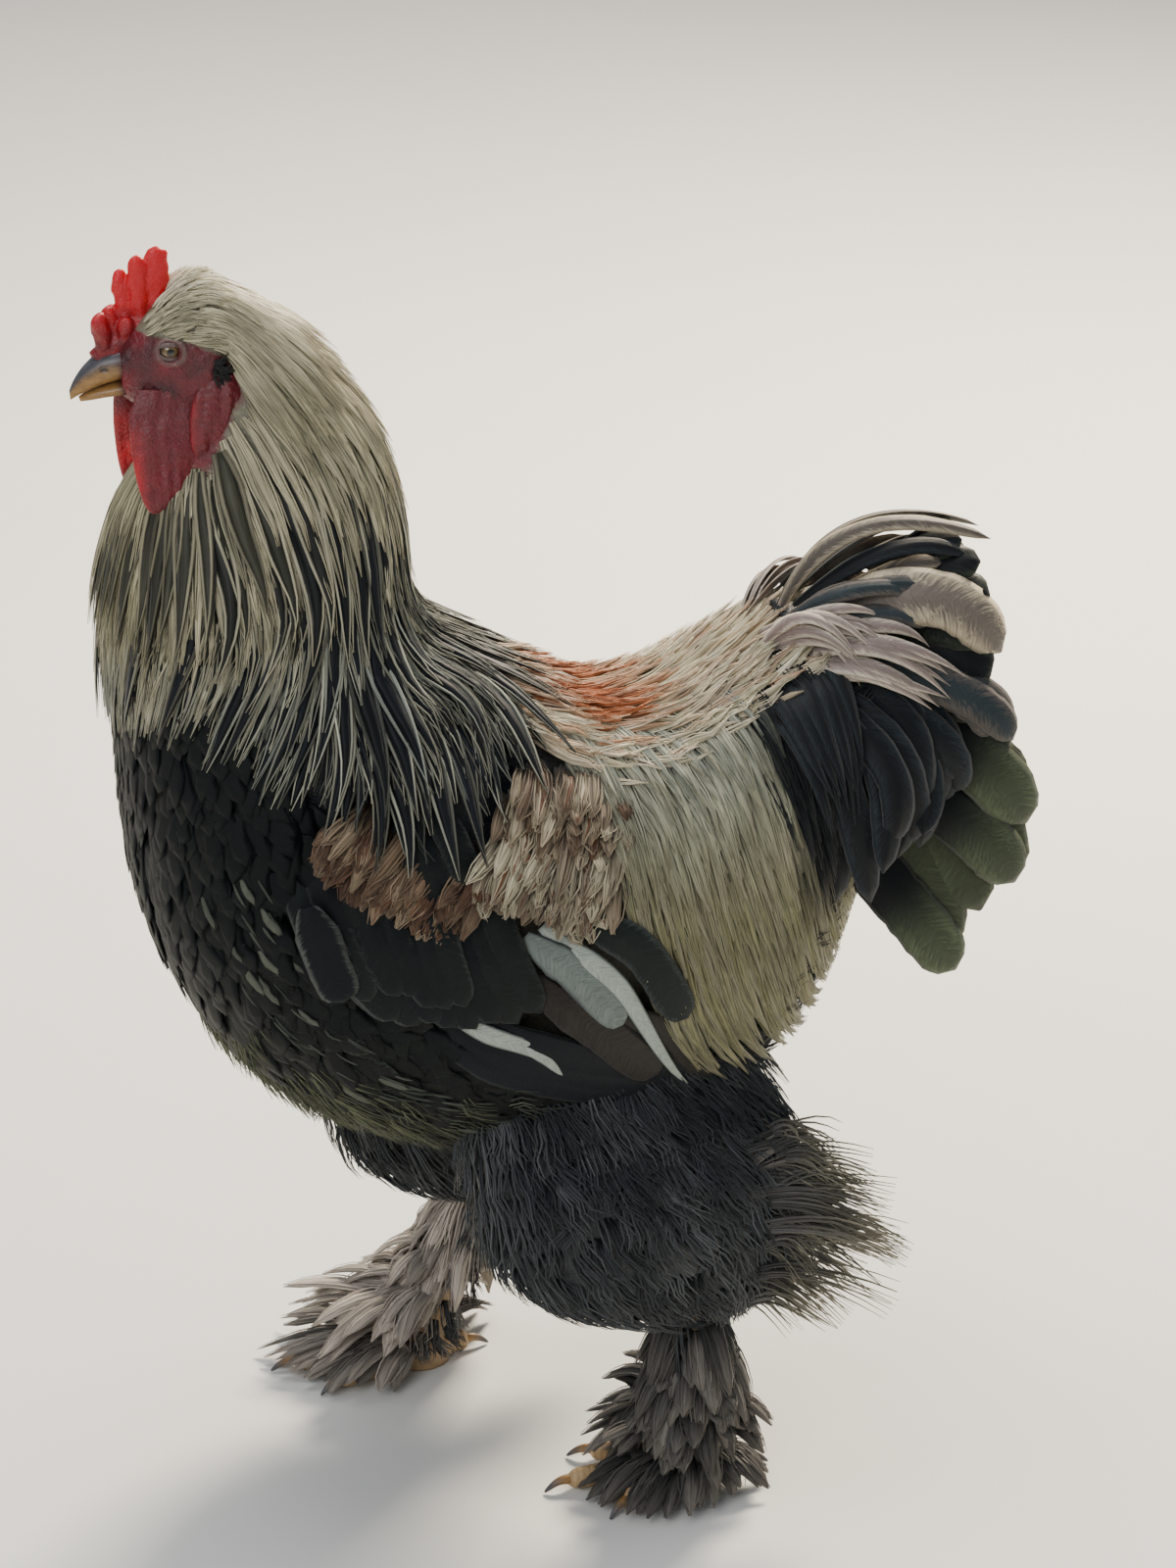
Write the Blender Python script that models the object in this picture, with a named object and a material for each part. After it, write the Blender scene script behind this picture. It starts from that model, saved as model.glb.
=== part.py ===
"""A Brahma cock as a still, life-size model, standing with its right foot forward.

The bird faces -X and its left side is -Y. The trunk, from the throat to the root of the tail, is one lofted
form: a station is a plane that holds the Y axis direction, and it is known by its point on the back, its point
on the breast or belly, and its half width. A place on the coat is (station, angle, lift): the angle runs from
0 on the back to pi on the breast, positive to the bird's left, and the lift is the height over the outline of
the coat. Every feather that lies on the trunk follows a straight line in those three.
"""

import math

import bmesh
import bpy
import numpy as np
from mathutils import Matrix

# ---------------------------------------------------------------- driving dimensions, in metres and radians

GAP = 0.00035  # between nodes that touch
VANE = 0.0007  # thickness of a feather's vane
QUILLED_VANE = 0.0009  # thickness of a tail feather's vane
ROOT_DEPTH = 0.005  # how far a feather's root is sunk in what it grows from
COAT_DEPTH = 0.013  # height of the long feathers' tips over the core that they grow on
SHINGLE = 0.0022  # how much lower every second vane of a tier lies
LEFT, RIGHT = 1, -1
SIDE_NAMES = {LEFT: "left", RIGHT: "right"}

# back x, back z, breast x, breast z, half width: outline of the coat, from the throat to the rump
TRUNK = np.array([
    (-0.188, 0.690, -0.212, 0.618, 0.032),
    (-0.157, 0.671, -0.240, 0.600, 0.047),
    (-0.127, 0.641, -0.256, 0.580, 0.060),
    (-0.108, 0.605, -0.263, 0.552, 0.070),
    (-0.100, 0.567, -0.266, 0.520, 0.077),
    (-0.099, 0.532, -0.265, 0.482, 0.085),
    (-0.090, 0.508, -0.260, 0.437, 0.094),
    (-0.070, 0.493, -0.256, 0.385, 0.102),
    (-0.046, 0.478, -0.242, 0.326, 0.108),
    (-0.018, 0.462, -0.206, 0.262, 0.112),
    (0.012, 0.450, -0.150, 0.218, 0.114),
    (0.045, 0.452, -0.080, 0.196, 0.113),
    (0.075, 0.468, -0.005, 0.194, 0.106),
    (0.102, 0.483, 0.065, 0.212, 0.094),
    (0.126, 0.490, 0.112, 0.255, 0.076),
    (0.148, 0.482, 0.142, 0.320, 0.054),
    (0.165, 0.462, 0.165, 0.385, 0.030),
])
NECK_END, TORSO_END, TRUNK_END = 6.2, 15.8, 16.0
THROAT_NARROWING = 0.36
STATION_GAP = 0.016  # stations between two nodes that meet on the trunk, at least GAP everywhere

CAPE_ANGLES = (0.0, 0.74, 1.02, 1.36, 1.64, 1.81, 2.02, 2.40, 3.15)
CAPE_ENDS = (9.0, 9.1, 9.15, 9.0, 8.15, 7.25, 6.1, 5.8, 5.8)

# station, angle: the lower edge of the saddle hackle
SADDLE_HEM = np.array([(9.2, 0.70), (10.5, 1.15), (11.5, 1.60), (12.5, 2.00), (14.0, 2.20), (16.0, 2.20)])

# station, angle of the upper edge, angle of the lower edge
WING_CLEARANCE = 0.0014
WING_EDGES = np.array([
    (7.3, 1.80, 1.84),
    (7.8, 1.45, 1.92),
    (8.5, 1.20, 1.95),
    (9.4, 1.10, 1.96),
    (10.6, 1.22, 1.98),
    (11.6, 1.55, 2.04),
    (12.3, 1.95, 2.12),
])

# crown x, crown z, jaw x, jaw z, half width: the head from the beak's base to the throat
HEAD = np.array([
    (-0.2500, 0.6640, -0.2490, 0.6395, 0.0100),
    (-0.2420, 0.6750, -0.2430, 0.6340, 0.0160),
    (-0.2300, 0.6870, -0.2350, 0.6285, 0.0215),
    (-0.2160, 0.6955, -0.2270, 0.6235, 0.0255),
    (-0.2020, 0.6965, -0.2190, 0.6200, 0.0285),
    (-0.1880, 0.6900, -0.2120, 0.6180, 0.0320),
])
BEAK_UPPER = np.array([
    (-0.2505, 0.6638, -0.2500, 0.6468, 0.0098),
    (-0.2590, 0.6612, -0.2580, 0.6448, 0.0080),
    (-0.2670, 0.6550, -0.2660, 0.6420, 0.0056),
    (-0.2725, 0.6480, -0.2715, 0.6392, 0.0032),
    (-0.2752, 0.6425, -0.2748, 0.6372, 0.0010),
])
BEAK_LOWER = np.array([
    (-0.2502, 0.6462, -0.2492, 0.6385, 0.0088),
    (-0.2580, 0.6442, -0.2570, 0.6378, 0.0068),
    (-0.2655, 0.6414, -0.2645, 0.6366, 0.0042),
    (-0.2705, 0.6388, -0.2698, 0.6360, 0.0012),
])

# z, front x, rear x, middle y, half width: forms that hang or stand, in level slices from the top
THIGH_LEFT = np.array([
    (0.300, -0.050, 0.050, 0.042, 0.026),
    (0.262, -0.084, 0.076, 0.056, 0.036),
    (0.225, -0.092, 0.090, 0.070, 0.043),
    (0.190, -0.090, 0.098, 0.082, 0.046),
    (0.160, -0.082, 0.098, 0.087, 0.044),
    (0.134, -0.066, 0.090, 0.087, 0.037),
    (0.114, -0.034, 0.078, 0.086, 0.027),
    (0.104, 0.010, 0.064, 0.085, 0.015),
])
THIGH_RIGHT = THIGH_LEFT + np.array([0.0, -0.052, -0.076, -0.002, 0.0])
SHANK_LEFT = np.array([
    (0.1036, 0.0240, 0.0520, 0.085, 0.0130),
    (0.0900, 0.0250, 0.0520, 0.084, 0.0125),
    (0.0600, 0.0250, 0.0520, 0.082, 0.0120),
    (0.0300, 0.0245, 0.0535, 0.080, 0.0130),
    (0.0180, 0.0230, 0.0550, 0.080, 0.0150),
])
SHANK_RIGHT = np.array([
    (0.1036, -0.0570, -0.0270, 0.083, 0.0130),
    (0.0900, -0.0620, -0.0350, 0.083, 0.0125),
    (0.0600, -0.0745, -0.0475, 0.082, 0.0120),
    (0.0300, -0.0885, -0.0605, 0.080, 0.0130),
    (0.0180, -0.0950, -0.0640, 0.080, 0.0150),
])
WATTLE = np.array([
    (0.6400, -0.2440, -0.2290, 0.0130, 0.0030),
    (0.6280, -0.2490, -0.2230, 0.0175, 0.0028),
    (0.6140, -0.2510, -0.2200, 0.0215, 0.0026),
    (0.6000, -0.2500, -0.2200, 0.0255, 0.0026),
    (0.5870, -0.2450, -0.2230, 0.0280, 0.0024),
    (0.5770, -0.2390, -0.2280, 0.0290, 0.0018),
    (0.5730, -0.2350, -0.2310, 0.0292, 0.0008),
])
EARLOBE = np.array([
    (0.6500, -0.2120, -0.2030, 0.0285, 0.0026),
    (0.6420, -0.2175, -0.1990, 0.0300, 0.0030),
    (0.6280, -0.2200, -0.1995, 0.0310, 0.0030),
    (0.6140, -0.2195, -0.2030, 0.0300, 0.0026),
    (0.6040, -0.2165, -0.2080, 0.0285, 0.0018),
])

EYE_CENTRE, EYE_RADIUS = (-0.2262, 0.0178, 0.6665), 0.0062
LID_RADIUS = 0.0076
EYE_SLIT = (0.0052, 0.0050, 0.0040)  # half length, half depth and half height of the opening between the lids
EAR_CENTRE, EAR_RADIUS = (-0.2068, 0.0268, 0.6575), 0.0042
MOUTH_FRONT, MOUTH_REAR = (-0.2520, 0.6464), (-0.2390, 0.6400)
MOUTH_SLIT = 0.0009
NOSTRIL, NOSTRIL_SIZE = (-0.2580, 0.0078, 0.6545), (0.0028, 0.0022, 0.0012)
FOOT_LEFT, FOOT_RIGHT = (0.0390, 0.0790), (-0.0800, 0.0795)  # x and |y| under each shank
TOE_HEIGHT = 0.0085  # height of a toe's middle line over the floor

# heading in degrees from straight forward, outwards positive, and length: the three front toes and the hind one
TOES = ((-24, 0.058), (4, 0.074), (36, 0.060), (172, 0.030))
CLAW_LENGTH = 0.013

COLOURS = {
    "skin": (0.42, 0.05, 0.05),
    "comb": (0.62, 0.02, 0.03),
    "horn": (0.55, 0.42, 0.24),
    "eye": (0.30, 0.12, 0.03),
    "hackle": (0.62, 0.58, 0.44),
    "body": (0.09, 0.09, 0.10),
    "tail": (0.10, 0.09, 0.09),
    "fluff": (0.25, 0.23, 0.22),
    "shank": (0.62, 0.47, 0.30),
    "claw": (0.50, 0.42, 0.32),
}


# ---------------------------------------------------------------- forms worked out on (station, angle)


def through(rows, at):
    """Values on a smooth curve through the rows, at row numbers that need not be whole (Catmull-Rom)."""
    at = np.clip(np.asarray(at, float), 0, len(rows) - 1)
    low = np.minimum(at.astype(int), len(rows) - 2)
    t = (at - low)[..., None]
    before = rows[np.maximum(low - 1, 0)]
    start, end = rows[low], rows[low + 1]
    after = rows[np.minimum(low + 2, len(rows) - 1)]
    return 0.5 * (
        2 * start
        + (end - before) * t
        + (2 * before - 5 * start + 4 * end - after) * t**2
        + (3 * start - before - 3 * end + after) * t**3
    )


def upright(rows, station, angle, lift=0.0):
    """Points on a form of tilted stations: an ellipse between its back point and its breast point."""
    back_x, back_z, front_x, front_z, width = np.moveaxis(through(rows, station), -1, 0)
    half_x, half_z = (back_x - front_x) / 2, (back_z - front_z) / 2
    half = np.hypot(half_x, half_z)
    full = 1 + 0.05 * np.sin(2 * angle) ** 2
    along = (half + lift) * np.cos(angle) * full / half
    x = (back_x + front_x) / 2 + half_x * along
    z = (back_z + front_z) / 2 + half_z * along
    return np.stack(np.broadcast_arrays(x, -(width + lift) * np.sin(angle) * full, z), -1)


def trunk(station, angle, lift=0.0):
    """Points on or over the trunk's outline. Towards the throat its front side is narrow, between the wattles."""
    points = upright(TRUNK, station, angle, lift)
    narrow = THROAT_NARROWING * (1 - smooth_step(1.5, 4.5, station)) * (1 - np.cos(angle)) / 2
    return points * np.stack(np.broadcast_arrays(1.0, 1 - narrow, 1.0), -1)


def sliced(rows, side, station, angle, lift=0.0):
    """Points on a form of level slices: an ellipse between its front and its rear, on one side of the bird."""
    z, front, rear, middle, width = np.moveaxis(through(rows, station), -1, 0)
    x = (front + rear) / 2 - ((rear - front) / 2 + lift) * np.cos(angle)
    y = -side * (middle + (width + lift) * np.sin(angle))
    return np.stack(np.broadcast_arrays(x, y, z), -1)


def smooth_step(low, high, value):
    t = np.clip((value - low) / (high - low), 0, 1)
    return t * t * (3 - 2 * t)


def cape_end(angle):
    """The station where the hackle's tips end: far down over the back and shoulder, high on the breast."""
    return np.interp(np.abs(angle), CAPE_ANGLES, CAPE_ENDS)


def wing_edges(station):
    """The angles of the folded wing's upper and lower edge."""
    row = through(WING_EDGES[:, 1:], np.interp(station, WING_EDGES[:, 0], np.arange(len(WING_EDGES))))
    return row[..., 0], row[..., 1]


def bed_lift(station, angle):
    """Lift of the core: COAT_DEPTH under the coat's outline beneath cape, wing and saddle, else on it."""
    angle = np.abs(angle)
    end = cape_end(angle)
    under_cape = smooth_step(0.0, 1.0, station) * (1 - smooth_step(end - 0.6, end + 0.1, station))
    along_wing = smooth_step(7.0, 7.8, station) * (1 - smooth_step(12.0, 12.8, station))
    under_wing = along_wing * smooth_step(0.85, 1.2, angle) * (1 - smooth_step(1.85, 2.15, angle))
    hem = np.interp(station, SADDLE_HEM[:, 0], SADDLE_HEM[:, 1])
    under_saddle = smooth_step(8.7, 9.2, station) * (1 - smooth_step(hem - 0.25, hem + 0.05, angle))
    return -COAT_DEPTH * np.maximum(np.maximum(under_cape, under_wing), under_saddle)


def wrapped(angle):
    """The angle brought to between -pi and pi."""
    return (angle + math.pi) % (2 * math.pi) - math.pi


# ---------------------------------------------------------------- meshes


def solid(name, points, faces, colour):
    """An object of closed faces, turned so that they point outwards."""
    points = np.asarray(points, float).reshape(-1, 3)
    mesh = bpy.data.meshes.new(name)
    mesh.from_pydata(points.tolist(), [], faces)
    built = bmesh.new()
    built.from_mesh(mesh)
    bmesh.ops.triangulate(built, faces=[f for f in built.faces if len(f.verts) > 4])
    if built.calc_volume(signed=True) < 0:
        bmesh.ops.reverse_faces(built, faces=built.faces[:])
    built.to_mesh(mesh)
    built.free()
    obj = bpy.data.objects.new(name, mesh)
    bpy.context.scene.collection.objects.link(obj)
    finish(obj, colour)
    return obj


def finish(obj, colour):
    """Gives the object the plain material of that colour."""
    material = bpy.data.materials.get(colour)
    if material is None:
        material = bpy.data.materials.new(colour)
        material.use_nodes = True
        surface = material.node_tree.nodes["Principled BSDF"]
        surface.inputs["Base Color"].default_value = (*COLOURS[colour], 1)
        surface.inputs["Roughness"].default_value = 0.6
        surface.inputs["Metallic"].default_value = 0.0
    obj.data.materials.clear()
    obj.data.materials.append(material)


def ring(around):
    """Even angles round a form, from -pi to pi."""
    return wrapped(np.arange(around) * 2 * math.pi / around)


def closed_rings(rings):
    """Points and faces of a tube through the rings, with a flat cap on each end."""
    rows, around = rings.shape[:2]
    faces = []
    for i in range(rows - 1):
        for j in range(around):
            k = (j + 1) % around
            a, b, c, d = i * around + j, i * around + k, (i + 1) * around + k, (i + 1) * around + j
            faces += [(a, b, c), (a, c, d)]
    faces.append(tuple(reversed(range(around))))
    faces.append(tuple(range((rows - 1) * around, rows * around)))
    return rings.reshape(-1, 3), faces


def form(name, colour, surface, stations, around):
    """A closed body of a surface(station, angle) between its first and last station."""
    rings = surface(np.asarray(stations)[:, None], ring(around)[None, :])
    points, faces = closed_rings(rings)
    return solid(name, points, faces, colour)


def ball(name, colour, centre, radii, segments=10, rings=6):
    """An ellipsoid with its poles on the Y axis."""
    across = np.linspace(0.0, math.pi, rings + 1)[1:-1]
    angles = np.arange(segments) * 2 * math.pi / segments
    x = np.sin(across)[:, None] * np.cos(angles)
    y = np.cos(across)[:, None] * np.ones_like(angles)
    z = np.sin(across)[:, None] * np.sin(angles)
    spots = np.stack([x, y, z], -1) * np.asarray(radii)
    points = np.concatenate([spots.reshape(-1, 3), [(0, radii[1], 0), (0, -radii[1], 0)]])
    faces = []
    last = (rings - 2) * segments
    top, bottom = (rings - 1) * segments, (rings - 1) * segments + 1
    for j in range(segments):
        k = (j + 1) % segments
        faces.append((top, k, j))
        faces.append((bottom, last + j, last + k))
        for i in range(rings - 2):
            faces.append((i * segments + j, i * segments + k, (i + 1) * segments + k, (i + 1) * segments + j))
    return solid(name, points + np.asarray(centre), faces, colour)


def unit(vectors):
    return vectors / np.linalg.norm(vectors, axis=-1, keepdims=True)


def vane(name, colour, path, up, half_widths, thickness, camber=0.0):
    """A closed feather vane along a path: a plate across it, arched by camber, split alike on both faces.

    The plate's side is the path's direction crossed with up. An arched one has a ridge down its middle.
    """
    path, up = np.asarray(path, float), np.asarray(up, float)
    heading = unit(np.gradient(path, axis=0))
    side = unit(np.cross(heading, up))
    up = np.cross(side, heading)
    width = np.asarray(half_widths)[:, None]
    columns = (-1, 0, 1) if camber else (-1, 1)
    upper = [path + side * width * c + up * (thickness / 2 - camber * abs(c) * width) for c in columns]
    lower = [path + side * width * c - up * (thickness / 2 + camber * abs(c) * width) for c in columns]
    count, steps = len(columns), len(path)
    points = np.stack(upper + lower, 1).reshape(-1, 3)

    def spot(i, column, face):
        return i * 2 * count + face * count + column

    faces = []
    for i in range(steps - 1):
        for c in range(count - 1):
            a, b = spot(i, c, 0), spot(i, c + 1, 0)
            d, e = spot(i + 1, c, 0), spot(i + 1, c + 1, 0)
            faces += [(a, b, e), (a, e, d)]
            faces += [(a + count, e + count, b + count), (a + count, d + count, e + count)]
        for c, flip in ((0, False), (count - 1, True)):
            a, b, d, e = spot(i, c, 0), spot(i, c, 1), spot(i + 1, c, 0), spot(i + 1, c, 1)
            quad = (a, d, e, b)
            faces.append(quad[::-1] if flip else quad)
    for i, flip in ((0, False), (steps - 1, True)):
        for c in range(count - 1):
            quad = (spot(i, c, 0), spot(i, c, 1), spot(i, c + 1, 1), spot(i, c + 1, 0))
            faces.append(quad[::-1] if flip else quad)
    return solid(name, points, faces, colour)


# ---------------------------------------------------------------- joining and cutting


def apply_boolean(obj, operation, others):
    """Unites obj with the closed objects, or cuts them from it, and removes them."""
    group = bpy.data.collections.new("operands")
    bpy.context.scene.collection.children.link(group)
    for other in others:
        bpy.context.scene.collection.objects.unlink(other)
        group.objects.link(other)
    step = obj.modifiers.new(operation, "BOOLEAN")
    step.operation = operation
    step.operand_type = "COLLECTION"
    step.collection = group
    step.solver = "MANIFOLD"
    made = bpy.data.meshes.new_from_object(obj.evaluated_get(bpy.context.evaluated_depsgraph_get()))
    obj.modifiers.clear()
    obj.data = made
    for other in others:
        bpy.data.objects.remove(other)
    bpy.data.collections.remove(group)


def keep_largest(obj):
    """Deletes all but the largest closed surface of the mesh."""
    built = bmesh.new()
    built.from_mesh(obj.data)
    bmesh.ops.triangulate(built, faces=built.faces[:])
    left, shells = set(built.faces), []
    while left:
        shell, front = set(), [left.pop()]
        while front:
            face = front.pop()
            shell.add(face)
            near = {f for e in face.edges for f in e.link_faces} & left
            left -= near
            front += near
        shells.append(shell)

    def volume(shell):
        corners = ([v.co for v in f.verts] for f in shell)
        return abs(sum(a.dot(b.cross(c)) for a, b, c in corners))

    biggest = max(shells, key=volume)
    spare = [f for s in shells if s is not biggest for f in s]
    bmesh.ops.delete(built, geom=spare, context="FACES")
    loose = [v for v in built.verts if not v.link_faces]
    bmesh.ops.delete(built, geom=loose, context="VERTS")
    built.to_mesh(obj.data)
    built.free()


def fuse(obj, pieces):
    apply_boolean(obj, "UNION", pieces)
    keep_largest(obj)
    return obj


def cut(obj, cutters):
    apply_boolean(obj, "DIFFERENCE", cutters)
    keep_largest(obj)
    return obj


# ---------------------------------------------------------------- feathers

SHORT = (0.45, 1.0, 0.95, 0.25)
POINTED = (0.50, 0.90, 1.0, 0.70, 0.08)
ROUNDED = (0.40, 0.85, 1.0, 0.95, 0.45)
LYING = (-COAT_DEPTH - ROOT_DEPTH, -0.75 * COAT_DEPTH, -0.45 * COAT_DEPTH, -0.22 * COAT_DEPTH, 0.0)


def laid_vane(start, end, lifts, half_width, profile, side=LEFT):
    """A vane that follows the trunk from one (station, angle) to another, at those lifts over its outline."""
    t = np.linspace(0, 1, len(profile))
    station = start[0] + (end[0] - start[0]) * t
    angle = start[1] + (end[1] - start[1]) * t
    lift = np.interp(t, np.linspace(0, 1, len(lifts)), lifts)
    along = trunk(station + 0.05, angle, lift) - trunk(station - 0.05, angle, lift)
    around = trunk(station, angle + 0.02, lift) - trunk(station, angle - 0.02, lift)
    outwards = unit(np.cross(around, along))
    mirror = np.array([1, side, 1])
    return vane("vane", "body", trunk(station, angle, lift) * mirror, outwards * mirror,
                half_width * np.asarray(profile), VANE)


def free_vane(root, tip, bow, up, half_width, profile, thickness=VANE, camber=0.0):
    """A vane from root to tip that bows sideways in its middle."""
    t = np.linspace(0, 1, len(profile))[:, None]
    root, tip = np.asarray(root, float), np.asarray(tip, float)
    path = root + (tip - root) * t + np.asarray(bow) * np.sin(math.pi * t)
    facing = np.broadcast_to(np.asarray(up, float), path.shape)
    return vane("vane", "tail", path, facing, half_width * np.asarray(profile), thickness, camber)


def side_by_side(count, low, high):
    """Even places from low to high, each in the middle of its share."""
    return low + (high - low) * (np.arange(count) + 0.5) / count


# ---------------------------------------------------------------- trunk: neck, torso, wings


def neck_core():
    stations = np.linspace(2.5 * STATION_GAP, NECK_END, 9)
    return form("neck", "hackle", lambda s, a: trunk(s, a, bed_lift(s, a)), stations, 16)


# tier: share of the way down to the cape's end at which its vanes start and end, how many, half width
HACKLE_TIERS = (
    (0.055, 0.350, 8, 0.0100),
    (0.190, 0.560, 9, 0.0130),
    (0.360, 0.780, 11, 0.0140),
    (0.560, 1.000, 14, 0.0135),
)
THROAT_ANGLES = (1.6, 2.0)  # how far round the neck the first two tiers go


def build_hackle():
    """Tiers of pointed vanes down the neck, each tier's tips over the roots of the next.

    The first two leave the throat free for the wattles, and the last stands off over the wing.
    """
    vanes = []
    for tier, (first, last, count, half_width) in enumerate(HACKLE_TIERS):
        half_turn = math.pi / count
        for number in range(count):
            angle = wrapped(half_turn * (2 * number + tier % 2) + 0.02)
            if tier < 2 and abs(angle) > THROAT_ANGLES[tier]:
                continue
            length = cape_end(abs(angle))
            over_wing = 0.004 if tier == len(HACKLE_TIERS) - 1 and 0.9 < abs(angle) < 1.9 else 0.0
            drop = SHINGLE * (number % 2)
            lifts = np.array(LYING) - drop + over_wing * np.linspace(0, 1, len(LYING))
            turn = 0.10 * math.sin(angle) * last
            vanes.append(laid_vane((first * length, angle), (last * length, angle - turn), lifts, half_width,
                                   POINTED))
    return vanes


def build_neck():
    """The neck and its cape of hackle, which falls from it over the torso's shoulders."""
    neck = fuse(neck_core(), build_hackle())
    return cut(neck, around_throat())


def torso_core(name="torso", extra=0.0):
    stations = np.concatenate([np.linspace(NECK_END + STATION_GAP, 14.8, 13), [TORSO_END]])
    return form(name, "body", lambda s, a: trunk(s, a, bed_lift(s, a) + extra), stations, 20)


# tier: share of the way from the ridge of the back to the hem, how many on each side, half width
SADDLE_TIERS = (
    (0.03, 0.42, 3, 0.0140),
    (0.24, 0.72, 4, 0.0130),
    (0.48, 1.00, 6, 0.0130),
)
# station and angle of the root, tip x, |tip y|, tip z: the long feathers that hang free below the hem
SADDLE_FRINGE = (
    (14.4, 1.95, 0.143, 0.078, 0.312),
    (14.1, 1.95, 0.134, 0.084, 0.296),
    (13.8, 1.95, 0.121, 0.088, 0.283),
    (13.4, 1.95, 0.106, 0.091, 0.274),
    (13.0, 1.98, 0.090, 0.094, 0.268),
)


def build_saddle(side):
    """Tiers of pointed vanes that fall from the back to both sides of the rump."""
    vanes = []
    for tier, (first, last, count, half_width) in enumerate(SADDLE_TIERS):
        for number, share in enumerate(side_by_side(count, 0.0, 1.0)):
            ridge = np.array([9.5 + 3.4 * share, 0.10])
            hem_station = 11.4 + 2.9 * share
            hem = np.array([hem_station, np.interp(hem_station, SADDLE_HEM[:, 0], SADDLE_HEM[:, 1])])
            start, end = ridge + (hem - ridge) * first, ridge + (hem - ridge) * last
            drop = SHINGLE * (number % 2)
            vanes.append(laid_vane(start, end, [lift - drop for lift in LYING], half_width, POINTED, side))
    for station, angle, tip_x, tip_y, tip_z in SADDLE_FRINGE:
        root = trunk(station, angle, bed_lift(station, angle) - ROOT_DEPTH) * (1, side, 1)
        vanes.append(free_vane(root, (tip_x, -side * tip_y, tip_z), (0.004, -side * 0.006, 0.004),
                               (0.3, -side, 0.2), 0.0110, SHORT))
    return vanes


def build_torso():
    return fuse(torso_core(), build_saddle(LEFT) + build_saddle(RIGHT))


def wing_core(side, name="wing", extra=0.0):
    """The folded wing's body, a thick leaf that lies on the flank and slips under the cape."""
    t = np.linspace(0, 1, 8)[:, None]
    station = WING_EDGES[0, 0] + (WING_EDGES[-1, 0] - WING_EDGES[0, 0]) * t
    top, bottom = wing_edges(station)
    around = ring(10)
    across = 0.5 - 0.5 * np.cos(around)
    angle = top + (bottom - top) * across - extra / 0.09 * np.cos(around)
    full = np.sqrt(np.sin(math.pi * (0.06 + 0.88 * t)))
    outer = -0.007 + 0.007 * across + 0.008 * np.sin(around) * full
    end = cape_end(angle)
    outer = outer - 0.011 * (1 - smooth_step(end, end + 0.7, station))
    inner = np.minimum(bed_lift(station, angle) + WING_CLEARANCE, outer - 0.001)
    lift = np.where(np.sin(around) > -0.1, outer, inner) + extra * np.sin(around)
    points, faces = closed_rings(trunk(station, angle, lift) * np.array([1, side, 1]))
    return solid(name, points, faces, "body")


# tier of the wing: (station, angle) of its first root and tip, of its last root and tip, how many, half width
WING_TIERS = (
    ((8.90, 1.42), (10.0, 1.40), (7.90, 1.84), (9.40, 1.96), 3, 0.0150),
    ((9.30, 1.30), (10.9, 1.38), (8.80, 1.86), (10.9, 1.98), 3, 0.0160),
    ((10.0, 1.28), (11.5, 1.44), (9.90, 1.86), (12.4, 2.08), 6, 0.0125),
)


def build_wing(side):
    """The folded wing, with median coverts, great coverts and secondaries in tiers."""
    vanes = []
    for root, tip, last_root, last_tip, count, half_width in WING_TIERS:
        root, tip, last_root, last_tip = map(np.array, (root, tip, last_root, last_tip))
        for number in range(count):
            share = number / (count - 1)
            over = 0.0010 * (count - number)
            lifts = (-0.009, -0.001 + over, 0.001 + over, 0.0005 + over)
            vanes.append(laid_vane(root + (last_root - root) * share, tip + (last_tip - tip) * share, lifts,
                                   half_width, SHORT, side))
    wing = fuse(wing_core(side, "wing_" + SIDE_NAMES[side]), vanes)
    return cut(wing, [torso_core("torso_room", GAP)])


# ---------------------------------------------------------------- tail

# tip x, tip z, |tip y|, root x, root z, |root y|, half width, tilt of the vane from upright, in degrees
TAIL_FEATHERS = (
    (0.214, 0.522, 0.013, 0.142, 0.470, 0.005, 0.0100, 50),
    (0.224, 0.498, 0.030, 0.146, 0.470, 0.009, 0.0130, 42),
    (0.218, 0.462, 0.042, 0.150, 0.464, 0.013, 0.0160, 28),
    (0.214, 0.424, 0.048, 0.152, 0.456, 0.016, 0.0170, 18),
    (0.237, 0.376, 0.051, 0.150, 0.449, 0.018, 0.0200, 10),
    (0.229, 0.318, 0.055, 0.146, 0.442, 0.019, 0.0200, 6),
    (0.193, 0.284, 0.056, 0.142, 0.438, 0.019, 0.0200, 2),
)
TAIL_COVERTS = (
    (0.174, 0.511, 0.022, 0.128, 0.478, 0.016, 0.0120, 46),
    (0.204, 0.486, 0.038, 0.134, 0.471, 0.020, 0.0150, 32),
    (0.206, 0.440, 0.054, 0.138, 0.461, 0.024, 0.0170, 20),
    (0.192, 0.386, 0.066, 0.138, 0.450, 0.026, 0.0170, 12),
    (0.160, 0.342, 0.070, 0.132, 0.440, 0.026, 0.0160, 6),
)
TAIL_SHORT_COVERTS = (
    (0.166, 0.480, 0.042, 0.118, 0.477, 0.025, 0.0130, 36),
    (0.176, 0.430, 0.064, 0.123, 0.465, 0.030, 0.0140, 22),
    (0.150, 0.376, 0.080, 0.122, 0.451, 0.031, 0.0140, 10),
)


def tail_root(name="tail"):
    """The fleshy root of the tail, covered by down."""
    rows = np.array([
        (0.105, 0.488, 0.105, 0.410, 0.034),
        (0.130, 0.490, 0.130, 0.418, 0.034),
        (0.152, 0.484, 0.152, 0.428, 0.028),
        (0.168, 0.472, 0.168, 0.440, 0.018),
        (0.176, 0.464, 0.176, 0.448, 0.008),
    ])
    return form(name, "tail", lambda s, a: upright(rows, s, a), np.linspace(0, 4, 7), 14)


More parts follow.
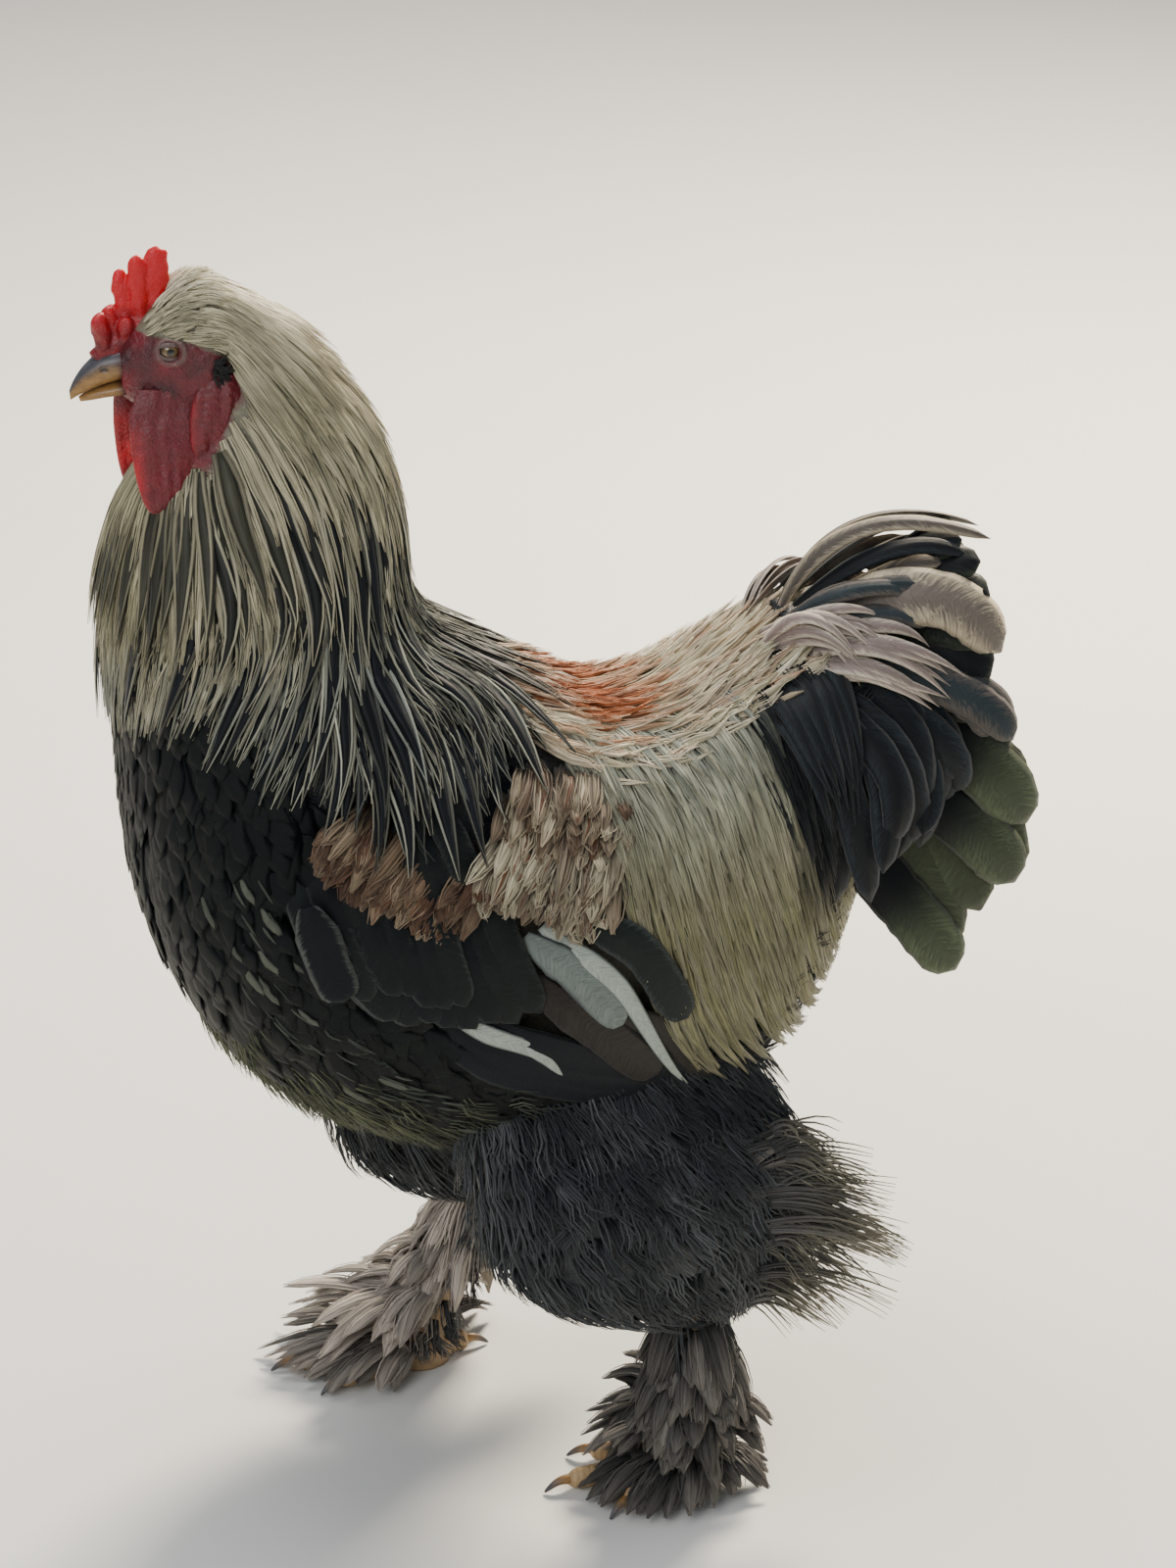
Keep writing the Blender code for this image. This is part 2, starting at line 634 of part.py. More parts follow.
def tail_vane(row, side, bow, profile, camber):
    tip_x, tip_z, tip_y, root_x, root_z, root_y, half_width, tilt = row
    tilt = math.radians(tilt)
    up = (0, -side * math.cos(tilt), math.sin(tilt))
    heading = unit(np.array([tip_x - root_x, 0, tip_z - root_z]))
    lifted = np.array([-heading[2], 0, heading[0]]) * bow
    return free_vane((root_x, -side * root_y, root_z), (tip_x, -side * tip_y, tip_z), lifted, up, half_width,
                     profile, QUILLED_VANE, camber)


def build_tail():
    """The spread tail, with its main feathers behind and two tiers of coverts over them."""
    vanes = []
    for rows, bow, profile, camber in ((TAIL_FEATHERS, 0.012, ROUNDED, 0.16), (TAIL_COVERTS, 0.014, SHORT, 0.0),
                                       (TAIL_SHORT_COVERTS, 0.012, SHORT, 0.0)):
        for row in rows:
            vanes += [tail_vane(row, side, bow, profile, camber) for side in (LEFT, RIGHT)]
    return cut(fuse(tail_root(), vanes), [torso_core("torso_room", GAP)])


# ---------------------------------------------------------------- legs


def leg_rows(side, left, right):
    return left if side == LEFT else right


def thigh_core(side, name="thigh", extra=0.0):
    rows = leg_rows(side, THIGH_LEFT, THIGH_RIGHT)
    stations = np.linspace(0, len(rows) - 1, 10)
    return form(name, "fluff", lambda s, a: sliced(rows, side, s, a, extra), stations, 14)


# root x, |root y|, root z, tip x, |tip y|, tip z, half width: the stiff feathers behind the left hock
HOCK_FEATHERS = (
    (0.070, 0.098, 0.205, 0.126, 0.096, 0.192, 0.0100),
    (0.074, 0.108, 0.190, 0.146, 0.106, 0.168, 0.0110),
    (0.072, 0.090, 0.184, 0.150, 0.082, 0.156, 0.0110),
    (0.072, 0.112, 0.170, 0.166, 0.110, 0.134, 0.0110),
    (0.070, 0.096, 0.160, 0.172, 0.092, 0.124, 0.0120),
    (0.064, 0.106, 0.148, 0.158, 0.104, 0.101, 0.0110),
    (0.062, 0.082, 0.146, 0.146, 0.076, 0.098, 0.0110),
    (0.056, 0.100, 0.132, 0.122, 0.102, 0.088, 0.0110),
)


def build_thigh(side):
    """The thigh in its dense down, with the stiff feathers that stand off behind the hock."""
    back = 0.0 if side == LEFT else THIGH_RIGHT[0, 2] - THIGH_LEFT[0, 2]
    vanes = []
    for x, y, z, tip_x, tip_y, tip_z, half_width in HOCK_FEATHERS:
        root, tip = (x + back, -side * y, z), (tip_x + back, -side * tip_y, tip_z)
        vanes.append(free_vane(root, tip, (0, 0, 0.006), (0.25, -side, 0.25), half_width, SHORT))
    thigh = fuse(thigh_core(side, "thigh_" + SIDE_NAMES[side]), vanes)
    return cut(thigh, [torso_core("torso_room", GAP), wing_core(side, "wing_room", 2 * GAP)])


# bearing from straight forward in degrees, outwards positive, root z, reach from the shank's middle, tip z
SHANK_FEATHERS = (
    (15, 0.088, 0.036, 0.050),
    (75, 0.092, 0.042, 0.054),
    (135, 0.088, 0.040, 0.050),
    (-50, 0.070, 0.032, 0.042),
    (45, 0.062, 0.052, 0.040),
    (105, 0.064, 0.048, 0.040),
    (-10, 0.030, 0.072, 0.034),
    (26, 0.028, 0.084, 0.042),
    (62, 0.030, 0.070, 0.040),
    (98, 0.028, 0.054, 0.034),
    (145, 0.030, 0.054, 0.028),
)
# bearing, reach from the foot's middle, tip z: the feathers that lie on the toes
FOOT_FEATHERS = (
    (-46, 0.060, 0.006),
    (19, 0.092, 0.010),
    (55, 0.080, 0.009),
    (92, 0.062, 0.009),
    (135, 0.062, 0.009),
)
FEATHERING = {LEFT: 0.80, RIGHT: 1.0}  # the forward foot is spread wider


def bearing(degrees, side):
    """A level unit vector, turned outwards from straight forward."""
    turn = math.radians(degrees)
    return np.array([-math.cos(turn), -side * math.sin(turn), 0.0])


def build_shank(side):
    """The shank with the feathers that hang outwards from it."""
    rows = leg_rows(side, SHANK_LEFT, SHANK_RIGHT)
    stations = np.linspace(0, len(rows) - 1, 6)
    shank = form("shank_" + SIDE_NAMES[side], "shank", lambda s, a: sliced(rows, side, s, a), stations, 10)
    vanes = []
    for turn, root_z, reach, tip_z in SHANK_FEATHERS:
        row = np.array([np.interp(root_z, rows[::-1, 0], rows[::-1, k]) for k in range(5)])
        middle = np.array([(row[1] + row[2]) / 2, -side * row[3], root_z])
        out = bearing(turn, side)
        tip = middle + out * reach * FEATHERING[side]
        tip[2] = tip_z
        vanes.append(free_vane(middle + out * 0.006, tip, out * 0.004 + (0, 0, 0.008), out + (0, 0, 0.7), 0.0120,
                               SHORT))
    return fuse(shank, vanes)


def toe(start, heading, length, side):
    """A toe along the floor: round above, flat below, thicker at its two joints."""
    t = np.linspace(0, 1, 5)[:, None]
    around = ring(7)
    direction = np.array([-math.cos(heading), -side * math.sin(heading)])
    across = np.array([-direction[1], direction[0]])
    swell = 1 + 0.10 * np.cos(t * 4 * math.pi)
    width = (0.0085 - 0.0035 * t) * swell
    low = np.sqrt(np.clip(1 - np.abs(2 * t - 1) ** 8, 0.25, 1))
    x = start[0] + direction[0] * length * t + across[0] * width * low * np.sin(around)
    y = -side * start[1] + direction[1] * length * t + across[1] * width * low * np.sin(around)
    z = np.maximum(0, TOE_HEIGHT * (1 - 0.25 * t) + width * 1.2 * low * np.cos(around))
    points, faces = closed_rings(np.stack(np.broadcast_arrays(x, y, z), -1))
    return solid("toe", points, faces, "shank")


def build_foot(side):
    start = leg_rows(side, FOOT_LEFT, FOOT_RIGHT)
    name = SIDE_NAMES[side]
    t = np.array([0.0, 0.5, 1.0])[:, None]
    around = ring(10)
    radius = 0.0140 + 0.003 * t
    x = start[0] + radius * 1.15 * np.cos(around)
    y = -side * start[1] + radius * np.sin(around)
    z = np.broadcast_to(0.0176 * (1 - t), x.shape)
    points, faces = closed_rings(np.stack([x, y, z], -1))
    foot = solid("foot_" + name, points, faces, "shank")
    pieces = [toe(start, math.radians(turn), length, side) for turn, length in TOES]
    for turn, reach, tip_z in FOOT_FEATHERS:
        out = bearing(turn, side)
        middle = np.array([start[0], -side * start[1], 0.0])
        tip = middle + out * reach * FEATHERING[side] + (0, 0, tip_z)
        pieces.append(free_vane(middle + out * 0.006 + (0, 0, 0.010), tip, (0, 0, 0.010), out * 0.2 + (0, 0, 1),
                                0.0120, SHORT))
    return fuse(foot, pieces)


def build_claw(side, number):
    """A claw on the end of a toe, curved down to the floor."""
    turn, length = TOES[number]
    start = leg_rows(side, FOOT_LEFT, FOOT_RIGHT)
    heading = math.radians(turn)
    direction = np.array([-math.cos(heading), -side * math.sin(heading)])
    t = np.linspace(0, 1, 4)[:, None]
    around = ring(6)
    width = 0.0026 * (1 - t) ** 0.7 + 0.0004
    reach = length + GAP + CLAW_LENGTH * t
    across = np.array([-direction[1], direction[0]])
    x = start[0] + direction[0] * reach + across[0] * width * np.sin(around)
    y = -side * start[1] + direction[1] * reach + across[1] * width * np.sin(around)
    z = 0.0064 + 0.002 * np.sin(math.pi * t) - 0.0052 * t + width * np.cos(around)
    points, faces = closed_rings(np.stack(np.broadcast_arrays(x, y, z), -1))
    return solid(f"claw_{SIDE_NAMES[side]}_{number + 1}", points, faces, "claw")


# ---------------------------------------------------------------- head


def head_core(name="head", extra=0.0):
    """The head, or with extra the room that its neighbours leave round it, past its end too."""
    rings = upright(HEAD, np.linspace(0, len(HEAD) - 1, 8)[:, None], ring(14)[None, :], extra)
    if extra:
        crown_x, crown_z, jaw_x, jaw_z = HEAD[-1, :4]
        towards_neck = unit(np.array([crown_z - jaw_z, 0.0, jaw_x - crown_x]))
        rings = np.concatenate([rings, rings[-1:] + towards_neck * extra])
    points, faces = closed_rings(rings)
    return solid(name, points, faces, "skin")


def build_head():
    """The head with lids round the eyes, a cup at each ear and the slit of the mouth."""
    head = head_core()
    bulges, holes = [], []
    for side in (LEFT, RIGHT):
        eye, ear = (np.array(place) * (1, -side, 1) for place in (EYE_CENTRE, EAR_CENTRE))
        bulges.append(ball("lids", "skin", eye, (LID_RADIUS, EYE_RADIUS + 0.0014, LID_RADIUS), 10, 4))
        bulges.append(ball("cup", "skin", ear, (EAR_RADIUS, 0.0050, EAR_RADIUS * 1.2), 8, 4))
        holes.append(eye_ball("socket", side, GAP))
        holes.append(ball("slit", "skin", eye + (0, -side * 0.006, 0), EYE_SLIT, 10, 4))
        holes.append(ball("hole", "skin", ear + (0, -side * 0.0050, 0), (EAR_RADIUS * 0.6, 0.0030, EAR_RADIUS * 0.8), 8, 4))
    gape = np.array([MOUTH_FRONT, MOUTH_REAR])
    path = [(x, 0.0, z) for x, z in (gape[0], gape.mean(0), gape[1])]
    holes.append(vane("mouth", "skin", path, [(0, 0, 1)] * 3, [0.03] * 3, MOUTH_SLIT))
    return cut(fuse(head, bulges), holes)


def eye_ball(name, side, extra=0.0):
    return ball(name, "eye", np.array(EYE_CENTRE) * (1, -side, 1), (EYE_RADIUS + extra,) * 3)


def build_eye(side):
    return eye_ball("eye_" + SIDE_NAMES[side], side)


def half_beak(name, rows):
    stations = np.linspace(0, len(rows) - 1, 7)
    return form(name, "horn", lambda s, a: upright(rows, s, a), stations, 12)


def build_beak():
    """Both halves of the beak, with the nostrils in the upper one."""
    half_beak("beak_lower", BEAK_LOWER)
    places = [np.array(NOSTRIL) * (1, -side, 1) for side in (LEFT, RIGHT)]
    cut(half_beak("beak_upper", BEAK_UPPER), [ball("pit", "horn", place, NOSTRIL_SIZE, 8, 4) for place in places])


# foot x, foot z, tip x, tip z, half width along the head, half thickness, y of the foot, y of the tip
COMB_LOBES = (
    (-0.247, 0.666, -0.259, 0.684, 0.0075, 0.0042, 0.000, 0.000),
    (-0.243, 0.672, -0.251, 0.699, 0.0065, 0.0040, 0.002, 0.004),
    (-0.238, 0.678, -0.244, 0.707, 0.0068, 0.0040, -0.002, -0.003),
    (-0.231, 0.682, -0.235, 0.7165, 0.0085, 0.0040, 0.000, 0.001),
    (-0.225, 0.686, -0.227, 0.713, 0.0070, 0.0040, 0.000, 0.000),
)


def lobe(foot_x, foot_z, tip_x, tip_z, width, thickness, foot_y, tip_y):
    """A leaf of the comb, wider above its middle, round on its edge."""
    t = np.linspace(0, 1, 5)[:, None]
    around = ring(7)
    full = np.sqrt(np.sin(math.pi * (0.10 + 0.84 * t))) * (0.85 + 0.25 * t)
    along = np.array([tip_x - foot_x, tip_z - foot_z])
    across = np.array([along[1], -along[0]]) / np.hypot(*along)
    x = foot_x + along[0] * t + across[0] * width * full * np.cos(around)
    z = foot_z + along[1] * t + across[1] * width * full * np.cos(around)
    y = -(foot_y + (tip_y - foot_y) * t) + thickness * full * np.sin(around)
    points, faces = closed_rings(np.stack(np.broadcast_arrays(x, y, z), -1))
    return solid("lobe", points, faces, "comb")


def build_comb():
    lobes = [lobe(*row) for row in COMB_LOBES]
    comb = fuse(lobes[0], lobes[1:])
    comb.name = "comb"
    return cut(comb, [head_core("cutter", GAP)])


def hanging_skin(rows, side, name, extra=0.0):
    """A wattle or an earlobe."""
    stations = np.linspace(0, len(rows) - 1, 6)
    return form(name, "comb", lambda s, a: sliced(rows, side, s, a, extra), stations, 9)


def build_wattle(side):
    return cut(hanging_skin(WATTLE, side, "wattle_" + SIDE_NAMES[side]), [head_core("cutter", GAP)])


def build_earlobe(side):
    earlobe = hanging_skin(EARLOBE, side, "earlobe_" + SIDE_NAMES[side])
    return cut(earlobe, [head_core("cutter", GAP), hanging_skin(WATTLE, side, "cutter_2", GAP)])


def around_throat():
    """What the neck's feathers part round, grown by the gap to it."""
    things = [head_core("head_room", GAP)]
    for side in (LEFT, RIGHT):
        things.append(hanging_skin(WATTLE, side, "wattle_room", GAP))
        things.append(hanging_skin(EARLOBE, side, "earlobe_room", GAP))
    return things


def stand_on_origin():
    """Moves the whole level, so that the origin is under the middle of its box."""
    points = np.array([v.co for obj in bpy.data.objects for v in obj.data.vertices])
    middle = (points.min(0) + points.max(0)) / 2
    for obj in bpy.data.objects:
        obj.data.transform(Matrix.Translation((-middle[0], -middle[1], 0)))


def main():
    for obj in list(bpy.data.objects):
        bpy.data.objects.remove(obj)
    build_torso()
    build_neck()
    build_head()
    build_beak()
    build_comb()
    build_tail()
    for side in (LEFT, RIGHT):
        build_eye(side)
        build_wattle(side)
        build_earlobe(side)
        build_wing(side)
        build_thigh(side)
        build_shank(side)
        build_foot(side)
        for number in range(len(TOES)):
            build_claw(side, number)
    stand_on_origin()


main()
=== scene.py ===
"""Looks of the Brahma cock: skin, plumage by tract, comb, eyes, beak and legs, with floor, light and camera.

The bird is worked out in its own frame, in metres: it faces -X, its left is -Y and the floor is z = 0. SHIFT
takes that frame to the model's. A place on the trunk is (station, angle, lift): stations run from the beak's
base (-5) over the throat (0) to the rump (16), angles from 0 on the back to pi on the breast, positive to the
bird's left, and the lift is the height over the outline of the coat.
"""

import math

import bpy
import numpy as np
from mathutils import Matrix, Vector


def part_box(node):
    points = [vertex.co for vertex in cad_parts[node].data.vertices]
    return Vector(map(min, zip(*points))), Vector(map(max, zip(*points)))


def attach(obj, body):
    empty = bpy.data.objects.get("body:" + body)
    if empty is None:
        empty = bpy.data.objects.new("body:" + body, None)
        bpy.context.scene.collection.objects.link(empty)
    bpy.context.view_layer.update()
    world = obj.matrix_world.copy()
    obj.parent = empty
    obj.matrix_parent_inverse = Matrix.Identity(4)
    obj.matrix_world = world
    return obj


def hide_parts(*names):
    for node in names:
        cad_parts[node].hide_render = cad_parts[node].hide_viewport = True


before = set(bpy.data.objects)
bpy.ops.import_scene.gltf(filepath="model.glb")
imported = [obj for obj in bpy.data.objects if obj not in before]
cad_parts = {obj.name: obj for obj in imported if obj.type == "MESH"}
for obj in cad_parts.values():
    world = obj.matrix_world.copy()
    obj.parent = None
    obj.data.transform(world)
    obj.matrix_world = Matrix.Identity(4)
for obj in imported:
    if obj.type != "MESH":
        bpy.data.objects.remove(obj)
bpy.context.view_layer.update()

# ---------------------------------------------------------------- driving dimensions

LEFT, RIGHT = 1, -1
SIDE_NAMES = {LEFT: "left", RIGHT: "right"}
COAT_DEPTH = 0.013
THROAT_NARROWING = 0.36
HEAD_ROWS = 5  # rows of BODY before the throat, which is station 0
# back x, back z, breast x, breast z, half width: the head from the beak's base, then the trunk's coat
BODY = np.array([
    (-0.2500, 0.6640, -0.2490, 0.6395, 0.0100),
    (-0.2420, 0.6750, -0.2430, 0.6340, 0.0160),
    (-0.2300, 0.6870, -0.2350, 0.6285, 0.0215),
    (-0.2160, 0.6955, -0.2270, 0.6235, 0.0255),
    (-0.2020, 0.6965, -0.2190, 0.6200, 0.0285),
    (-0.188, 0.690, -0.212, 0.618, 0.032),
    (-0.157, 0.671, -0.240, 0.600, 0.047),
    (-0.127, 0.641, -0.256, 0.580, 0.060),
    (-0.108, 0.605, -0.263, 0.552, 0.070),
    (-0.100, 0.567, -0.266, 0.520, 0.077),
    (-0.099, 0.532, -0.265, 0.482, 0.085),
    (-0.090, 0.508, -0.260, 0.437, 0.094),
    (-0.070, 0.493, -0.256, 0.385, 0.102),
    (-0.046, 0.478, -0.242, 0.326, 0.108),
    (-0.018, 0.462, -0.206, 0.262, 0.112),
    (0.012, 0.450, -0.150, 0.218, 0.114),
    (0.045, 0.452, -0.080, 0.196, 0.113),
    (0.075, 0.468, -0.005, 0.194, 0.106),
    (0.102, 0.483, 0.065, 0.212, 0.094),
    (0.126, 0.490, 0.112, 0.255, 0.076),
    (0.148, 0.482, 0.142, 0.320, 0.054),
    (0.165, 0.462, 0.165, 0.385, 0.030),
])
CAPE_ANGLES = (0.0, 0.74, 1.02, 1.36, 1.64, 1.81, 2.02, 2.40, 3.15)
CAPE_ENDS = (9.0, 9.30, 9.20, 8.70, 7.95, 7.2, 6.0, 5.6, 5.6)
TAIL_ROOT = np.array([
    (0.105, 0.488, 0.105, 0.410, 0.034),
    (0.130, 0.490, 0.130, 0.418, 0.034),
    (0.152, 0.484, 0.152, 0.428, 0.028),
    (0.168, 0.472, 0.168, 0.440, 0.018),
    (0.176, 0.464, 0.176, 0.448, 0.008),
])
BEAK_UPPER = np.array([
    (-0.2440, 0.6650, -0.2440, 0.6468, 0.0104),
    (-0.2505, 0.6638, -0.2500, 0.6468, 0.0098),
    (-0.2590, 0.6612, -0.2580, 0.6448, 0.0080),
    (-0.2670, 0.6550, -0.2660, 0.6420, 0.0056),
    (-0.2725, 0.6480, -0.2715, 0.6392, 0.0032),
    (-0.2752, 0.6425, -0.2748, 0.6372, 0.0010),
])
BEAK_LOWER = np.array([
    (-0.2440, 0.6468, -0.2430, 0.6385, 0.0092),
    (-0.2502, 0.6462, -0.2492, 0.6385, 0.0088),
    (-0.2580, 0.6442, -0.2570, 0.6378, 0.0068),
    (-0.2655, 0.6414, -0.2645, 0.6366, 0.0042),
    (-0.2705, 0.6388, -0.2698, 0.6360, 0.0012),
])
# z, front x, rear x, middle y, half width: forms that hang or stand, in level slices from the top
THIGH_LEFT = np.array([
    (0.300, -0.050, 0.050, 0.042, 0.026),
    (0.262, -0.084, 0.076, 0.056, 0.036),
    (0.225, -0.092, 0.090, 0.070, 0.043),
    (0.190, -0.090, 0.098, 0.082, 0.046),
    (0.160, -0.082, 0.098, 0.087, 0.044),
    (0.134, -0.066, 0.090, 0.087, 0.037),
    (0.114, -0.034, 0.078, 0.086, 0.027),
    (0.104, 0.010, 0.064, 0.085, 0.015),
])
THIGHS = {LEFT: THIGH_LEFT, RIGHT: THIGH_LEFT + np.array([0.0, -0.052, -0.076, -0.002, 0.0])}
SHANKS = {LEFT: np.array([
    (0.1150, 0.0240, 0.0520, 0.085, 0.0120),
    (0.0900, 0.0270, 0.0500, 0.084, 0.0110),
    (0.0600, 0.0280, 0.0490, 0.082, 0.0105),
    (0.0300, 0.0260, 0.0515, 0.080, 0.0115),
    (0.0120, 0.0240, 0.0540, 0.080, 0.0140),
]), RIGHT: np.array([
    (0.1150, -0.0560, -0.0270, 0.083, 0.0120),
    (0.0900, -0.0610, -0.0370, 0.083, 0.0110),
    (0.0600, -0.0730, -0.0490, 0.082, 0.0105),
    (0.0300, -0.0870, -0.0620, 0.080, 0.0115),
    (0.0120, -0.0945, -0.0650, 0.080, 0.0140),
])}
WATTLE = np.array([
    (0.6460, -0.2430, -0.1990, 0.0190, 0.0034),
    (0.6340, -0.2480, -0.1995, 0.0215, 0.0038),
    (0.6220, -0.2488, -0.2040, 0.0240, 0.0038),
    (0.6090, -0.2480, -0.2105, 0.0264, 0.0036),
    (0.5970, -0.2462, -0.2180, 0.0285, 0.0034),
    (0.5875, -0.2435, -0.2270, 0.0298, 0.0026),
    (0.5825, -0.2400, -0.2330, 0.0300, 0.0012),
])
WATTLE_DROP = {LEFT: 0.0, RIGHT: 0.010}  # how much lower each hangs
EARLOBE = np.array([
    (0.6530, -0.2080, -0.1930, 0.0255, 0.0020),
    (0.6440, -0.2150, -0.1895, 0.0268, 0.0034),
    (0.6310, -0.2180, -0.1960, 0.0280, 0.0038),
    (0.6170, -0.2180, -0.2030, 0.0284, 0.0032),
    (0.6080, -0.2155, -0.2080, 0.0282, 0.0012),
])
EYE_CENTRE, EYE_RADIUS = np.array((-0.2262, 0.0178, 0.6665)), 0.0062
EAR_CENTRE = np.array((-0.2010, 0.0275, 0.6570))
NOSTRIL = np.array((-0.2580, 0.0078, 0.6545))
# foot x, foot z, tip x, tip z, half width along the head, half thickness, y of the foot, y of the tip
COMB_LOBES = (
    (-0.2560, 0.6600, -0.2600, 0.6835, 0.0046, 0.0042, 0.002, 0.004),
    (-0.2520, 0.6620, -0.2530, 0.6860, 0.0046, 0.0044, -0.001, -0.002),
    (-0.2460, 0.6660, -0.2452, 0.6815, 0.0042, 0.0040, 0.003, 0.005),
    (-0.2430, 0.6680, -0.2476, 0.7050, 0.0046, 0.0036, -0.001, -0.002),
    (-0.2370, 0.6720, -0.2390, 0.7130, 0.0054, 0.0036, 0.000, 0.002),
    (-0.2300, 0.6740, -0.2278, 0.7165, 0.0074, 0.0040, 0.000, 0.000),
    (-0.2600, 0.6560, -0.2260, 0.6800, 0.0085, 0.0062, 0.000, 0.000),
)
COMB_GRAIN = 0.0007  # size of the cubes in which the lobes grow together
LID_HALF_LENGTH = 0.0060
LIDS = ((1, 0.0040, 0.0014), (-1, 0.0036, 0.0011))  # up or down, height over the eye's middle, half thickness
FEET = {LEFT: (0.0390, 0.0790), RIGHT: (-0.0800, 0.0795)}  # x and |y| of the place where the toes meet
TOES = ((-24, 0.058), (4, 0.074), (36, 0.060), (172, 0.030))  # degrees outwards from ahead, and length
TOE_HEIGHT, TOE_HALF_WIDTH, TOE_TAPER = 0.0085, 0.0085, 0.0035
SCUTE_LENGTH, SCUTE_HEIGHT = 0.0036, 0.0006
PAD_RADIUS, PAD_HEIGHT = 0.0150, 0.022
CLAW_LENGTH, CLAW_RADIUS = 0.013, 0.0028
SOLE_GAP = 0.0001  # between the soles and the floor

eye_low, eye_high = (np.array(corner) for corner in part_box("eye_left"))
SHIFT = (eye_low + eye_high) / 2 - EYE_CENTRE * (1, -1, 1)

# the view: turned round the bird, looking down, in degrees; distance and point looked at, in metres
VIEW_TURN, VIEW_DOWN, VIEW_DISTANCE = -15.0, 24.0, 3.0
VIEW_AIM = np.array((0.0, 0.0, 0.39))
LENS, SENSOR = 126.9, 36.0  # millimetres
# name, place, the point it is turned to, side in metres, watts, colour
LIGHTS = (
    ("key", (-1.6, -2.2, 2.2), (0, 0, 0.35), 1.6, 42, "#ffffff"),
    ("rim", (1.3, 1.6, 1.9), (0, 0, 0.45), 0.7, 190, "#fff0d8"),
    ("top", (-0.2, 0.4, 2.8), (0, 0, 0.3), 1.4, 40, "#ffffff"),
)
SKY_COLOUR, SKY_STRENGTH = "#e8ecf2", 0.46
FLOOR_HALF = 8.0

# ---------------------------------------------------------------- colours


def linear(code):
    """An sRGB hex colour as linear red, green and blue."""
    share = np.array([int(code[i:i + 2], 16) for i in (1, 3, 5)]) / 255
    return np.where(share <= 0.04045, share / 12.92, ((share + 0.055) / 1.055) ** 2.4)


def mixed(first, second, share):
    """Colours between two, where share is a number or an array of any shape."""
    share = np.clip(np.asarray(share, float), 0, 1)[..., None]
    return first * (1 - share) + second * share


CREAM, CREAM_SHADE, CREAM_DARK = linear("#cfc6a6"), linear("#96927a"), linear("#4a493b")
# khaki: cream darkened and greened as painted shade, lit green from below
IVORY, PAINTED_SHADE_KHAKI = linear("#eee5cc"), linear("#8a8662")
BLUE_BLACK, GREEN_BLACK, SLATE = linear("#0d1218"), linear("#151d1c"), linear("#323c43")
SILVER = linear("#a7afa6")
BREAST_LACE = linear("#4d564d")
CHESTNUT, RUST, TAN = linear("#584031"), linear("#b26a40"), linear("#a08a6e")
WHITE, PALE_GREY, QUILL_BROWN = linear("#b7beb2"), linear("#8d9892"), linear("#2c2925")
TAIL_BLACK, TAIL_BROWN, TAIL_OLIVE = linear("#12171b"), linear("#665e57"), linear("#59634a")
TAIL_PINK, TAIL_TAN, TAIL_BLUE = linear("#94837e"), linear("#a89c84"), linear("#404b4f")
DOWN_OLIVE, DOWN_GREY, DOWN_DARK = linear("#60634a"), linear("#434648"), linear("#1a1f23")
FOOT_PALE, FOOT_GREY = linear("#d6cabd"), linear("#4a4a48")
# the bare skin's reds: the face's two are its red darkened by painted shade, the comb's is its own full red
SHADED_FACE_RED, DEEPER_SHADED_RED, COMB_RED = linear("#741c26"), linear("#3c161c"), linear("#c3131f")
LID_GREY = linear("#6a5a56")
HORN_DARK, HORN_PALE = linear("#434349"), linear("#96713e")
TOE_SKIN, TOE_DARK = linear("#b79a70"), linear("#7d6249")

# ---------------------------------------------------------------- forms


def through(rows, at):
    """Values on a smooth curve through the rows, at row numbers that need not be whole (Catmull-Rom)."""
    rows = np.asarray(rows, float)
    at = np.clip(np.asarray(at, float), 0, len(rows) - 1)
    low = np.minimum(at.astype(int), len(rows) - 2)
    t = (at - low)[..., None]
    before = rows[np.maximum(low - 1, 0)]
    start, end = rows[low], rows[low + 1]
    after = rows[np.minimum(low + 2, len(rows) - 1)]
    return 0.5 * (
        2 * start
        + (end - before) * t
        + (2 * before - 5 * start + 4 * end - after) * t**2
        + (3 * start - before - 3 * end + after) * t**3
    )


def smooth_step(low, high, value):
    """0 up to low, 1 from high on, and between them three t squared less two t cubed."""
    t =np.clip((value - low) / (high - low), 0, 1)
    return t * t * (3 - 2 * t)


def hump(value, middle, reach):
    """1 at the middle, falling smoothly to 0 at the reach on both sides."""
    return 1 - smooth_step(0.0, 1.0, np.abs(value - middle) / reach)


def unit(vectors):
    """Vectors divided by their lengths."""
    return vectors / np.maximum(np.linalg.norm(vectors, axis=-1, keepdims=True), 1e-12)


def upright(rows, station, angle, lift=0.0):
    """Points on a form of tilted stations: an ellipse between its back point and its breast point."""
    back_x, back_z, front_x, front_z, width = np.moveaxis(through(rows, station), -1, 0)
    half_x, half_z = (back_x - front_x) / 2, (back_z - front_z) / 2
    half = np.hypot(half_x, half_z)
    full = 1 + 0.05 * np.sin(2 * angle) ** 2
    along = (half + lift) * np.cos(angle) * full / half
    x = (back_x + front_x) / 2 + half_x * along
    z = (back_z + front_z) / 2 + half_z * along
    return np.stack(np.broadcast_arrays(x, -(width + lift) * np.sin(angle) * full, z), -1)


def trunk(station, angle, lift=0.0):
    """Points on or over the bird's outline. Towards the throat its front side is narrow, between the wattles."""
    station = np.asarray(station, float)
    points = upright(BODY, station + HEAD_ROWS, angle, lift)
    neck = smooth_step(-0.9, 0.4, station) * (1 - smooth_step(1.5, 4.5, station))
    narrow = THROAT_NARROWING * neck * (1 - np.cos(angle)) / 2
    return points * np.stack(np.broadcast_arrays(1.0, 1 - narrow, 1.0), -1)


